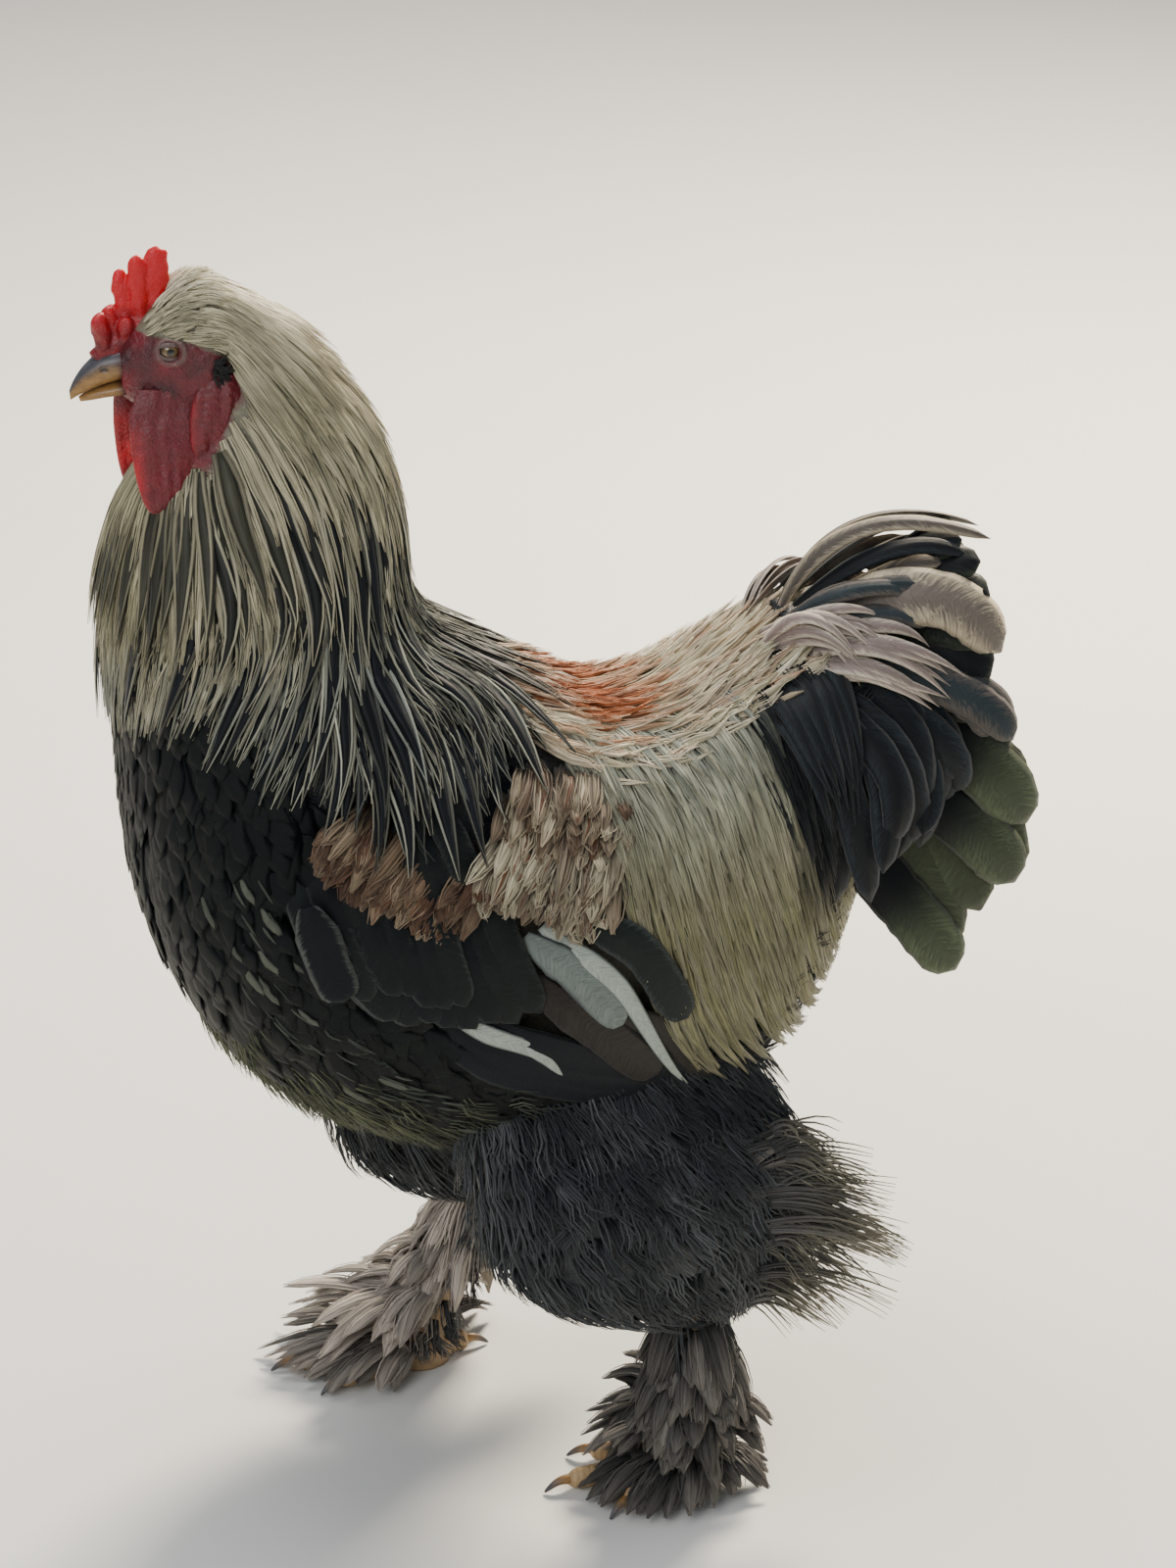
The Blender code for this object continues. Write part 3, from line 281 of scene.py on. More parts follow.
def sliced(rows, side, station, angle, lift=0.0):
    """Points on a form of level slices: an ellipse between its front and its rear, on one side of the bird."""
    z, front, rear, middle, width = np.moveaxis(through(rows, station), -1, 0)
    x = (front + rear) / 2 - ((rear - front) / 2 + lift) * np.cos(angle)
    y = -side * (middle + (width + lift) * np.sin(angle))
    return np.stack(np.broadcast_arrays(x, y, z), -1)


def limb(slices, side):
    """The surface of one side's thigh or shank as a function of station, angle and lift."""
    return lambda station, angle, lift=0.0: sliced(slices[side], side, station, angle, lift)


def outwards(surface, station, angle, lift):
    """Unit vectors that stand out from a surface, on the side to which it grows with its lift."""
    along = surface(station + 0.02, angle, lift) - surface(station - 0.02, angle, lift)
    around = surface(station, angle + 0.02, lift) - surface(station, angle - 0.02, lift)
    normal = unit(np.cross(along, around))
    grown = surface(station, angle, lift + 0.002) - surface(station, angle, lift - 0.002)
    return normal * np.where((normal * grown).sum(-1, keepdims=True) < 0, -1, 1)


def over_trunk(way, side, lifts):
    """Spines over the trunk through (station, angle) of (vane, row, 2), and their outward vectors."""
    station, angle = way[..., 0], way[..., 1] * side
    return trunk(station, angle, lifts), outwards(trunk, station, angle, lifts)


def cape_end(angle):
    """The station where the hackle's tips end: far down over back and shoulder, high on the breast."""
    return np.interp(np.abs(angle), CAPE_ANGLES, CAPE_ENDS)


def ripple(points, size, seed, waves=20):
    """Smooth noise from about -1 to 1: a sum of plane waves of about that length, in random directions."""
    rng = np.random.default_rng(seed)
    heading = unit(rng.normal(size=(waves, 3))) * (2 * math.pi / size) * rng.uniform(0.6, 1.5, (waves, 1))
    phase = rng.uniform(0, 2 * math.pi, waves)
    return np.sin(points @ heading.T + phase).sum(-1) / math.sqrt(waves)


# x along the brow, and z of the feathers' lower edge over it; z down the cheek, and x of their front edge
BROW_X, BROW_Z = (-0.2480, -0.2293, -0.2164, -0.2012, -0.1882), (0.6765, 0.6732, 0.6716, 0.6645, 0.6520)
CHEEK_Z = (0.5860, 0.5934, 0.6075, 0.6232, 0.6463, 0.6600)
CHEEK_X = (-0.2354, -0.2209, -0.2112, -0.2031, -0.1900, -0.1900)


def bare(points):
    """How bare the skin is at points on the head, from 0 under feathers to 1 on the face."""
    x, z = points[..., 0], points[..., 2]
    under_brow = smooth_step(-0.0010, 0.0010, np.interp(x, BROW_X, BROW_Z) - z)
    before_cheek = smooth_step(-0.0015, 0.0015, np.interp(z, CHEEK_Z, CHEEK_X) + 0.002 - x)
    return under_brow * before_cheek * smooth_step(0.597, 0.605, z)


# ---------------------------------------------------------------- meshes


def piece(name, points, loops, sizes, material, nodes=(), uv=None, bake=None, colours=None, smooth=None):
    """A shown object from flat arrays: points, the corners of all faces in a row, each face's corner count.

    uv and bake are a pair for each point, colours is {attribute name: a colour for each point}, and smooth
    says for each face whether it is shaded round.
    """
    mesh = bpy.data.meshes.new(name)
    points = np.asarray(points).reshape(-1, 3) + SHIFT
    loops, sizes = np.asarray(loops, np.int32).ravel(), np.asarray(sizes, np.int32)
    mesh.vertices.add(len(points))
    mesh.vertices.foreach_set("co", points.astype(np.float32).ravel())
    mesh.loops.add(len(loops))
    mesh.loops.foreach_set("vertex_index", loops)
    mesh.polygons.add(len(sizes))
    mesh.polygons.foreach_set("loop_start", np.concatenate([[0], np.cumsum(sizes)[:-1]]).astype(np.int32))
    mesh.polygons.foreach_set("use_smooth", np.ones(len(sizes), bool) if smooth is None else smooth)
    for label, pairs in (("vane", uv), ("OFBake", bake)):
        if pairs is not None:
            layer = mesh.uv_layers.new(name=label)
            layer.uv.foreach_set("vector", np.asarray(pairs, np.float32).reshape(-1, 2)[loops].ravel())
    for label, values in (colours or {}).items():
        attribute = mesh.attributes.new(label, "FLOAT_COLOR", "POINT")
        full = np.ones((len(points), 4), np.float32)
        full[:, :3] = np.asarray(values, np.float32).reshape(-1, 3)
        attribute.data.foreach_set("color", full.ravel())
    mesh.update(calc_edges=True)
    mesh.materials.append(material)
    obj = bpy.data.objects.new(name, mesh)
    bpy.context.scene.collection.objects.link(obj)
    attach(obj, "root")
    if nodes:
        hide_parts(*nodes)
    return obj


def tube_faces(rows, around, flip):
    """Corners and sizes of the quads between the rings of a tube, and of a fan to a pole on each end."""
    i, j = np.meshgrid(np.arange(rows - 1) * around, np.arange(around), indexing="ij")
    k = (j + 1) % around
    quads = np.stack([i + j, i + around + j, i + around + k, i + k], -1).reshape(-1, 4)
    ring, after = np.arange(around), (np.arange(around) + 1) % around
    start = np.stack([np.full(around, rows * around), ring, after], -1)
    last = (rows - 1) * around
    end = np.stack([np.full(around, rows * around + 1), last + after, last + ring], -1)
    order = slice(None, None, -1 if flip else 1)
    loops = np.concatenate([quads[:, order].ravel(), start[:, order].ravel(), end[:, order].ravel()])
    return loops, np.concatenate([np.full(len(quads), 4), np.full(2 * around, 3)])


class Shell:
    """Closed tubes of one piece, each a grid of rings with a pole on both ends."""

    def __init__(self):
        self.points, self.loops, self.sizes, self.tints, self.count = [], [], [], [], 0

    def add(self, rings, tint):
        """Adds a tube through rings of (row, around, 3), with one colour or one for each of their points."""
        rows, around = rings.shape[:2]
        tint = np.broadcast_to(tint, rings.shape).reshape(-1, 3)
        spots = np.concatenate([rings.reshape(-1, 3), [rings[0].mean(0)], [rings[-1].mean(0)]])
        loops, sizes = tube_faces(rows, around, False)
        a, b, c, d = (spots[loops[:4 * (rows - 1) * around].reshape(-1, 4)[:, n]] for n in range(4))
        middle = spots.mean(0)
        if (np.cross(c - a, d - b) * ((a + c) / 2 - middle)).sum() < 0:
            loops, sizes = tube_faces(rows, around, True)
        self.points.append(spots)
        self.loops.append(loops + self.count)
        self.sizes.append(sizes)
        self.tints.append(np.concatenate([tint, [tint[:around].mean(0)], [tint[-around:].mean(0)]]))
        self.count += len(spots)

    def piece(self, name, material, slot, nodes=()):
        """Makes one shown object of all the tubes."""
        return piece(name, np.concatenate(self.points), np.concatenate(self.loops), np.concatenate(self.sizes),
                     material, nodes, colours={"tint": np.concatenate(self.tints)})


def turn_round(count):
    """Even angles round a tube, from -pi to pi."""
    return (np.arange(count) + 0.5) * 2 * math.pi / count - math.pi


def tube(path, radii, up, around, flat=1.0):
    """Rings round a path of (row, 3): ellipses of those radii, flattened along up."""
    heading = unit(np.gradient(path, axis=0))
    side = unit(np.cross(heading, up))
    up = np.cross(side, heading)
    angle = turn_round(around)
    radii = np.asarray(radii)[:, None, None]
    across = side[:, None] * np.cos(angle)[None, :, None] + up[:, None] * (flat * np.sin(angle))[None, :, None]
    return path[:, None] + across * radii


# ---------------------------------------------------------------- feathers

# across from -1 to 1, arch as a share of the camber, thickness: a vane's section, in order round it
STRAND = np.array([(-1, 0, 0), (0, 1, 1), (1, 0, 0)], float)
TILE = np.array([(-1, 0, 0), (-0.4, 0.8, 0.9), (0.4, 0.8, 0.9), (1, 0, 0), (0, 0.7, -0.6)], float)
BROAD = np.array([
    (-1, 0, 0), (-0.75, 0.44, 0.6), (-0.5, 0.75, 0.8), (-0.25, 0.94, 1), (0, 1, 2), (0.25, 0.94, 1),
    (0.5, 0.75, 0.8), (0.75, 0.44, 0.6), (1, 0, 0), (0.5, 0.7, -0.2), (0, 0.9, -1), (-0.5, 0.7, -0.2),
], float)
PATCH = 0.003  # width of a vane's place on the OFBake map
TUFT_ROWS = 5  # rows along a strand of down


def spear(t):
    """Outline of a long pointed feather: full near a third, then narrowing to a point."""
    return np.clip(np.minimum(0.45 + 2.0 * t, 1.0) * (1 - t**2.4), 0.03, 1)


def round_end(t):
    """Outline of a broad feather with a round end."""
    end = np.clip((t - 0.78) / 0.22, 0, 1)
    return np.clip(np.minimum(0.4 + 1.8 * t, 1.0) * np.sqrt(1 - end**2), 0.05, 1)


def leaf(t):
    """Outline of a short body feather, widest beyond its middle."""
    return np.clip(np.minimum(0.4 + 1.4 * t, 1.0) * np.sqrt(np.clip(1 - t**5, 0, 1)), 0.08, 1)


def faded(outline):
    """The same outline, but closing sooner, for a stripe that ends before its feather."""
    return lambda t: np.maximum(outline(t) * (1 - 0.85 * t**3), 0.03)


def wisp(t):
    """Outline of a thread, which thins evenly."""
    return 1 - 0.85 * t**1.5


def spreading(t):
    """Outline of a loose tuft, which widens to its end."""
    return 0.5 + 0.7 * t


def frames(spine, up):
    """Unit vectors along, across and out of spines of (vane, row)."""
    heading = unit(np.gradient(spine, axis=1))
    side = unit(np.cross(heading, up))
    return heading, side, np.cross(side, heading)


class Coat:
    """The vanes of one piece of plumage."""

    def __init__(self):
        self.points, self.uv, self.bake, self.centre, self.edge = [], [], [], [], []
        self.loops, self.sizes, self.smooth, self.count = [], [], [], 0

    def add(self, spine, up, half_width, outline, place, centre, edge, section=STRAND, camber=0.25,
            thickness=0.0003, rag=0.0, rng=None, barbs=1.0):
        """Adds a vane along each spine of (vane, row, 3): the section, arched by camber, carried along it.

        half_width and place, its root on the OFBake map, are one for each vane; centre and edge are its
        colours, (vane, 1 or row, 3); rag is how unevenly its edges are frayed, as a share of the width.
        The vane map runs across from 0 to barbs, and along in tenths of a metre from each vane's own start.
        """
        count, rows = spine.shape[:2]
        t = np.linspace(0, 1, rows)
        _, side, out = frames(spine, up)
        across, arch, depth = section.T
        half_width = np.broadcast_to(half_width, count)[:, None, None]
        shape = outline(t)[None, :, None]
        width = half_width * shape * np.ones(len(across))
        if rag:
            width = width * (1 - rag * rng.uniform(0, 1, width.shape) ** 2 * np.abs(across) ** 3)
        height = camber * half_width * arch * shape + thickness * depth * np.minimum(1, 2 * shape)
        grid = spine[:, :, None] + side[:, :, None] * (width * across)[..., None]
        grid = grid + out[:, :, None] * height[..., None]
        steps = np.linalg.norm(np.diff(spine, axis=1), axis=-1)
        start = np.random.default_rng(self.count).uniform(0, 40, (count, 1))
        along = start + np.concatenate([np.zeros((count, 1)), np.cumsum(steps, 1)], 1) / 0.1
        u = np.broadcast_to((across + 1) / 2, grid.shape[:3])
        self.uv.append(np.stack([u * barbs, np.broadcast_to(along[..., None], u.shape)], -1).reshape(-1, 2))
        patch = PATCH * np.stack([u, np.broadcast_to(t[None, :, None], u.shape)], -1)
        self.bake.append((np.asarray(place)[:, None, None] + patch).reshape(-1, 2))
        for store, colour in ((self.centre, centre), (self.edge, edge)):
            full = np.broadcast_to(colour, (count, rows, 3))
            store.append(np.repeat(full[:, :, None], len(across), 2).reshape(-1, 3).astype(np.float32))
        self.points.append(grid.reshape(-1, 3).astype(np.float32))
        self.join(count, rows, len(across), int(across.argmax()))

    def join(self, count, rows, around, top):
        """Quads round each vane and a face on both ends; the top quads are shaded round, the others flat."""
        start = self.count + np.arange(count)[:, None, None] * rows * around
        i, j = np.arange(rows - 1)[None, :, None] * around, np.arange(around)[None, None, :]
        k = (j + 1) % around
        quads = np.stack([start + i + j, start + i + k, start + i + around + k, start + i + around + j], -1)
        root = start[:, 0] + np.arange(around)[::-1]
        tip = start[:, 0] + (rows - 1) * around + np.arange(around)
        self.loops += [quads.ravel(), root.ravel(), tip.ravel()]
        self.sizes += [np.full(quads[..., 0].size, 4), np.full(2 * count, around)]
        on_top = np.broadcast_to(np.arange(around) < top, quads.shape[:3])
        self.smooth += [on_top.ravel(), np.zeros(2 * count, bool)]
        self.count += count * rows * around

    def piece(self, name, material, slot, nodes=()):
        """Makes one shown object of all the vanes."""
        return piece(name, np.concatenate(self.points), np.concatenate(self.loops), np.concatenate(self.sizes),
                     material, nodes, np.concatenate(self.uv), np.concatenate(self.bake),
                     {"centre": np.concatenate(self.centre), "edge": np.concatenate(self.edge)},
                     np.concatenate(self.smooth))


def scatter(surface, stations, angles, spacing, rng, tries=40000):
    """Even random places: of many tries on the surface, the first that falls in each cube of the spacing."""
    station, angle = rng.uniform(*stations, tries), rng.uniform(*angles, tries)
    cube = np.floor(surface(station, angle) / spacing + rng.uniform(0, 1, 3)).astype(int)
    first = np.sort(np.unique(cube, axis=0, return_index=True)[1])
    return station[first], angle[first]


def on_map(station, angle):
    """Place on the OFBake map: the trunk unrolled, with its stations up and its angles across."""
    across = 0.03 + 0.92 * (np.asarray(angle) / (2 * math.pi) + 0.5)
    return np.stack(np.broadcast_arrays(across, 0.03 + 0.92 * (np.asarray(station) + 5) / 21), -1)


def trace(surface, station, angle, length, flow, rows):
    """(station, angle) of (vane, row) along lines of fall, from root to tip.

    They start at (station, angle) and go on for a length in metres, or end there where the length is
    negative. flow gives the change of angle for each station at (station, angle).
    """
    step = np.linalg.norm(surface(station + 0.05, angle) - surface(station - 0.05, angle), axis=-1) / 0.1
    stations = station[:, None] + (length / step)[:, None] * np.linspace(0, 1, rows)
    angles = np.repeat(angle[:, None], rows, 1)
    for row in range(1, rows):
        turn = flow(stations[:, row - 1], angles[:, row - 1])
        angles[:, row] = angles[:, row - 1] + turn * (stations[:, row] - stations[:, row - 1])
    order = slice(None, None, -1 if length.max() < 0 else 1)
    return stations[:, order], angles[:, order]


def laid(surface, stations, angles, lifts, rng, sway):
    """Spines through (station, angle) of (vane, row), at lifts of (1 or vane, row).

    Each sways a little by itself, and drifts and rises together with those around it. Returns the spines'
    points and outward vectors, (vane, row, 3).
    """
    count, rows = stations.shape
    t = np.linspace(0, 1, rows)
    root = surface(stations[:, 0], angles[:, 0])
    bend = rng.normal(0, sway, count) + 0.7 * sway * ripple(root, 0.05, 51)
    wave = rng.normal(0, sway / 3, count)
    angles = angles + bend[:, None] * np.sin(math.pi * t * 0.8) + wave[:, None] * np.sin(3 * math.pi * t)
    lifts = lifts + 0.0009 * ripple(root, 0.03, 52)[:, None] * t
    return surface(stations, angles, lifts), outwards(surface, stations, angles, lifts)


def lie(surface, station, angle, length, turn, lifts, rows, rng, sway=0.02):
    """Spines over a surface, from (station, angle) on, for a length in metres, while they turn by that angle."""
    stations, angles = trace(surface, station, angle, length, lambda *place: 0.0, rows)
    angles = angles + np.broadcast_to(turn, station.shape)[:, None] * np.linspace(0, 1, rows)
    return laid(surface, stations, angles, lifts, rng, sway)


def rising(rows, low, high, power=0.8):
    """Lifts that rise from a low root to a high tip."""
    return low + (high - low) * np.linspace(0, 1, rows)[None, :] ** power


def ruffled(low, high, power, count, rng):
    """Rising lifts for tufts, whose tips differ by a couple of millimetres from tuft to tuft."""
    return rising(TUFT_ROWS, low, high, power) + rng.normal(0, 0.002, (count, 1)) * np.linspace(0, 1, TUFT_ROWS)


def lock(coat, spine, up, half_width, place, stripe, barb, rng, strands=3, dark=None, outline=spear, tone=0.13,
         blade=spear, wave=0.0004, fine=0.10):
    """Adds loose feathers: a silky blade, thin strands over it that close to a tip, and a dark stripe on top.

    A strand runs beside the spine at a share of the half width times the outline, waves a little, and has a
    half width of its own, which is fine times the feather's. dark is the stripe's share of the width: with
    less than 0.03 there is none, and with more than 0.35 the whole blade has its colour and the strands lie
    beside it. stripe and barb are colours (vane, 1 or row, 3), and tone is how much single strands differ.
    """
    count, rows = spine.shape[:2]
    t = np.linspace(0, 1, rows)
    _, side, out = frames(spine, up)
    half_width = np.broadcast_to(half_width, count)
    inner = np.broadcast_to(0.0 if dark is None else dark, count)
    wide = half_width[:, None] * outline(t)
    if blade:
        even = np.where(inner[:, None, None] > 0.35, stripe, barb) * rng.normal(0.94, tone * 0.5, (count, 1, 1))
        coat.add(spine - out * 0.0004, out, half_width * 0.95, blade, place, even, even, camber=0.2, rag=0.3,
                 rng=rng, barbs=2.0)
    for number in range(strands):
        share = (number + rng.uniform(0.1, 0.9, count)) / strands * 2 - 1
        share = np.where(share < 0, -1, 1) * (inner + (1 - inner) * np.abs(share))
        offset = wide * share[:, None]
        path = spine + side * offset[..., None] + out * (0.2 * (wide - np.abs(offset)) + 0.0003)[..., None]
        swing = rng.normal(0, wave, (count, 1)) * np.sin(5 * t + rng.uniform(0, 6, (count, 1)))
        path = path + side * (swing * t + rng.normal(0, 0.0005, (count, 1)) * t)[..., None]
        shade = rng.normal(1, tone, (count, 1, 1)).clip(0.4, 1.7)
        coat.add(path, out, half_width * fine + 0.0003, wisp, place, barb * shade, barb * shade, camber=0.2)
    some = (inner > 0.03) & (inner <= 0.35)
    if some.any():
        stripe = np.broadcast_to(stripe, (count, rows, 3))[some]
        coat.add((spine + out * 0.0005)[some], out[some], (half_width * inner)[some] + 0.0001, faded(outline),
                 place[some], stripe, stripe, camber=0.2)


def tufts(coat, spine, up, half_width, place, barb, rng, strands=5, tone=0.25, wave=0.0015):
    """Adds down: tufts of loose strands that spread to their ends, with neither blade nor stripe."""
    lock(coat, spine, up, half_width, place, barb, barb, rng, strands=strands, outline=spreading, tone=tone,
         blade=None, wave=wave)


# ---------------------------------------------------------------- materials


def add(tree, kind, inputs=None, **settings):
    """Adds a shader node with its settings, and links or sets its inputs; a node is its first output."""
    made = tree.nodes.new("ShaderNode" + kind)
    for name, value in settings.items():
        setattr(made, name, value)
    for key, value in (inputs or {}).items():
        if isinstance(value, bpy.types.Node):
            value = value.outputs[0]
        if isinstance(value, bpy.types.NodeSocket):
            tree.links.new(value, made.inputs[key])
        else:
            made.inputs[key].default_value = value
    return made


def new_material(name, **values):
    """A material with these values on its Principled BSDF; returns it, its tree and that shader."""
    material = bpy.data.materials.new(name)
    material.use_nodes = True
    shader = material.node_tree.nodes["Principled BSDF"]
    for key, value in values.items():
        shader.inputs[key.replace("_", " ")].default_value = value
    return material, material.node_tree, shader


def dress(tree, shader, colour, relief=None):
    """Links the colour of a mix to the shader, and a relief where there is one."""
    tree.links.new(colour.outputs[2], shader.inputs["Base Color"])
    if relief:
        tree.links.new(relief.outputs[0], shader.inputs["Normal"])


def loose_barbs(name):
    """Keratin barbs without hooks, as on hackle and saddle: silky, with four or five of them to each strand.

    They are drawn coarser than the real 0.1 mm. Light and dark runs along each barb, and over patches of a
    few centimetres where feathers are cleaner or more worn.
    """
    material, tree, shader = new_material(name, Roughness=0.5, Sheen_Weight=0.08, Sheen_Roughness=0.4,
                                          Specular_IOR_Level=0.2)
    place = add(tree, "SeparateXYZ", {0: add(tree, "UVMap", uv_map="vane")})
    beside = add(tree, "Math", {0: place, 1: 4.5}, operation="MULTIPLY")
    ahead = add(tree, "Math", {0: place.outputs[1], 1: 3.0}, operation="MULTIPLY")
    barbs = add(tree, "CombineXYZ", {0: beside, 1: ahead})
    streak = add(tree, "TexNoise", {"Vector": barbs, "Scale": 1.0, "Detail": 2.0, "Roughness": 0.6})
    spot = add(tree, "TexCoord").outputs["Object"]
    patch = add(tree, "TexNoise", {"Vector": spot, "Scale": 45.0, "Detail": 2.0})  # about 20 mm
    fine = add(tree, "MapRange", {0: streak, 1: 0.3, 2: 0.7, 3: 0.60, 4: 1.30})
    wide = add(tree, "MapRange", {0: patch, 1: 0.3, 2: 0.7, 3: 0.82, 4: 1.14})
    shade = add(tree, "Math", {0: fine, 1: wide}, operation="MULTIPLY")
    colour = add(tree, "Attribute", attribute_name="edge")
    toned = add(tree, "Mix", {0: 1.0, 6: colour, 7: shade}, data_type="RGBA", blend_type="MULTIPLY")
    relief = add(tree, "Bump", {"Height": streak, "Distance": 0.0003, "Strength": 0.5})
    dress(tree, shader, toned, relief)
    return material


def vaned(name, stripe, soft, barb, slant, gloss=0.5, sheen=0.2, dark=0.72, light=1.2):
    """Hooked vanes: barbs leave the shaft forwards and close to a sheet, with a fine grain and a soft gloss.

    stripe and soft are the half width of the centre's colour and of its border, as shares of the vane; barb
    is the spacing in millimetres of the barb clumps, drawn coarser than the real 0.3 mm, and slant how many
    clumps a barb runs forwards on its way out. dark and light are the grain's depth.
    """
    material, tree, shader = new_material(name, Roughness=gloss, Sheen_Weight=sheen, Sheen_Roughness=0.5,
                                          Specular_IOR_Level=0.15)
    place = add(tree, "SeparateXYZ", {0: add(tree, "UVMap", uv_map="vane")})
    off = add(tree, "Math", {0: place, 1: 0.5}, operation="SUBTRACT")
    off = add(tree, "Math", {0: off}, operation="ABSOLUTE")
    off = add(tree, "Math", {0: off, 1: 2.0}, operation="MULTIPLY")
    line = add(tree, "Math", {0: place.outputs[1], 1: 100.0 / barb}, operation="MULTIPLY")
    number = add(tree, "Math", {0: off, 1: -slant, 2: line}, operation="MULTIPLY_ADD")
    spot = add(tree, "TexCoord").outputs["Object"]
    body = add(tree, "TexNoise", {"Vector": spot, "Scale": 45.0, "Detail": 1.0})  # another grain every 20 mm
    other = add(tree, "Math", {0: body, 1: 12.0}, operation="MULTIPLY")
    clump = add(tree, "CombineXYZ", {0: number, 1: other})
    grain = add(tree, "TexNoise", {"Vector": clump, "Scale": 1.0, "Detail": 3.0, "Roughness": 0.7})
    ragged = add(tree, "MapRange", {0: grain, 1: 0.2, 2: 0.8, 3: -soft * 1.5, 4: soft * 1.5})
    reach = add(tree, "Math", {0: off, 1: ragged}, operation="ADD")
    share = add(tree, "MapRange", {0: reach, 1: stripe - soft, 2: stripe + soft},
                interpolation_type="SMOOTHSTEP")
    centre, edge = (add(tree, "Attribute", attribute_name=label) for label in ("centre", "edge"))
    colour = add(tree, "Mix", {0: share, 6: centre, 7: edge}, data_type="RGBA")
    shade = add(tree, "MapRange", {0: grain, 1: 0.25, 2: 0.75, 3: dark, 4: light})
    toned = add(tree, "Mix", {0: 1.0, 6: colour.outputs[2], 7: shade}, data_type="RGBA", blend_type="MULTIPLY")
    relief = add(tree, "Bump", {"Height": grain, "Distance": 0.0004, "Strength": 0.5})
    dress(tree, shader, toned, relief)
    return material


def living_skin(name, spread, relief, wet=0.0, through_light=0.0):
    """Bare skin full of blood: rough with pimples of about a millimetre, and light soaks a little into it.

    The colour comes from the tint of each place; spread is how far pimples and pits differ from it.
    """
    material, tree, shader = new_material(name, Roughness=0.48, Coat_Weight=wet, Coat_Roughness=0.35,
                                          Subsurface_Weight=through_light, Subsurface_Scale=0.004,
                                          Subsurface_Radius=(1.0, 0.22, 0.12))
    spot = add(tree, "TexCoord").outputs["Object"]
    pimples = add(tree, "TexVoronoi", {"Vector": spot, "Scale": 900.0}, feature="SMOOTH_F1")  # 1.1 mm apart
    folds = add(tree, "TexNoise", {"Vector": spot, "Scale": 320.0, "Detail": 3.0})  # 3 mm
    height = add(tree, "Math", {0: folds, 1: 1.6, 2: pimples}, operation="MULTIPLY_ADD")
    tint = add(tree, "Attribute", attribute_name="tint")
    shade = add(tree, "MapRange", {0: height, 1: 0.6, 2: 1.6, 3: 1 + spread, 4: 1 - spread})
    toned = add(tree, "Mix", {0: 1.0, 6: tint, 7: shade}, data_type="RGBA", blend_type="MULTIPLY")
    bump = add(tree, "Bump", {"Height": height, "Distance": relief, "Strength": 0.7}, invert=True)
    dress(tree, shader, toned, bump)
    return material


def horn(name, gloss):
    """Keratin horn of beak and claws: polished by use, with growth lines along it."""
    material, tree, shader = new_material(name, Roughness=gloss, Coat_Weight=0.15, Coat_Roughness=0.3)
    spot = add(tree, "TexCoord").outputs["Object"]
    long = add(tree, "Mapping", {"Vector": spot, "Scale": (0.2, 1.0, 1.0)})
    lines = add(tree, "TexNoise", {"Vector": long, "Scale": 1400.0, "Detail": 3.0})  # 0.7 mm apart
    stain = add(tree, "TexNoise", {"Vector": spot, "Scale": 300.0})
    both = add(tree, "Math", {0: lines, 1: stain}, operation="ADD")
    shade = add(tree, "MapRange", {0: both, 1: 0.6, 2: 1.4, 3: 0.65, 4: 1.25})
    tint = add(tree, "Attribute", attribute_name="tint")
    toned = add(tree, "Mix", {0: 1.0, 6: tint, 7: shade}, data_type="RGBA", blend_type="MULTIPLY")
    bump = add(tree, "Bump", {"Height": lines, "Distance": 0.0002, "Strength": 0.6})
    dress(tree, shader, toned, bump)
    return material


def eye_gloss():
    """A wet eye: the iris under a clear, polished cornea."""
    material, tree, shader = new_material("wet_eye", Roughness=0.12, Coat_Weight=1.0, Coat_Roughness=0.03,
                                          IOR=1.38)
    spot = add(tree, "TexCoord").outputs["Object"]
    fibres = add(tree, "TexNoise", {"Vector": spot, "Scale": 2600.0, "Detail": 2.0})  # 0.4 mm
    shade = add(tree, "MapRange", {0: fibres, 1: 0.3, 2: 0.7, 3: 0.7, 4: 1.3})
    tint = add(tree, "Attribute", attribute_name="tint")
    toned = add(tree, "Mix", {0: 1.0, 6: tint, 7: shade}, data_type="RGBA", blend_type="MULTIPLY")
    dress(tree, shader, toned)
    return material


def paper_floor():
    """A sheet of pale studio paper: matt, very faintly mottled."""
    material, tree, shader = new_material("studio_paper", Roughness=0.9)
    spot = add(tree, "TexCoord").outputs["Object"]
    mottle = add(tree, "TexNoise", {"Vector": spot, "Scale": 3.0, "Detail": 4.0})
    colour = add(tree, "Mix", {0: mottle, 6: (*linear("#dcdcd8"), 1), 7: (*linear("#e4e4e0"), 1)},
                 data_type="RGBA")
    dress(tree, shader, colour)
    return material


# ---------------------------------------------------------------- skin


def down_colour(station, angle):
    """The colour of the down under the plumage, which follows the coat's markings."""
    angle = np.abs(angle)
    light = 1 - smooth_step(3.0, 5.0, station)
    colour = mixed(DOWN_DARK, mixed(CREAM_DARK, CREAM_SHADE, 0.5), light)
    back = smooth_step(7.8, 8.6, station) * (1 - smooth_step(0.3, 0.7, angle))
    colour = mixed(colour, TAN * 0.5, back * (1 - smooth_step(13.4, 14.2, station)))
    saddle = smooth_step(9.0, 9.8, station) * (1 - smooth_step(1.6, 2.2, angle)) * (1 - back)
    colour = mixed(colour, CREAM_DARK, saddle * (1 - smooth_step(12.8, 13.8, station)))
    belly = smooth_step(8.5, 10.0, station) * smooth_step(2.0, 2.4, angle)
    return mixed(colour, DOWN_OLIVE * 0.5, belly)


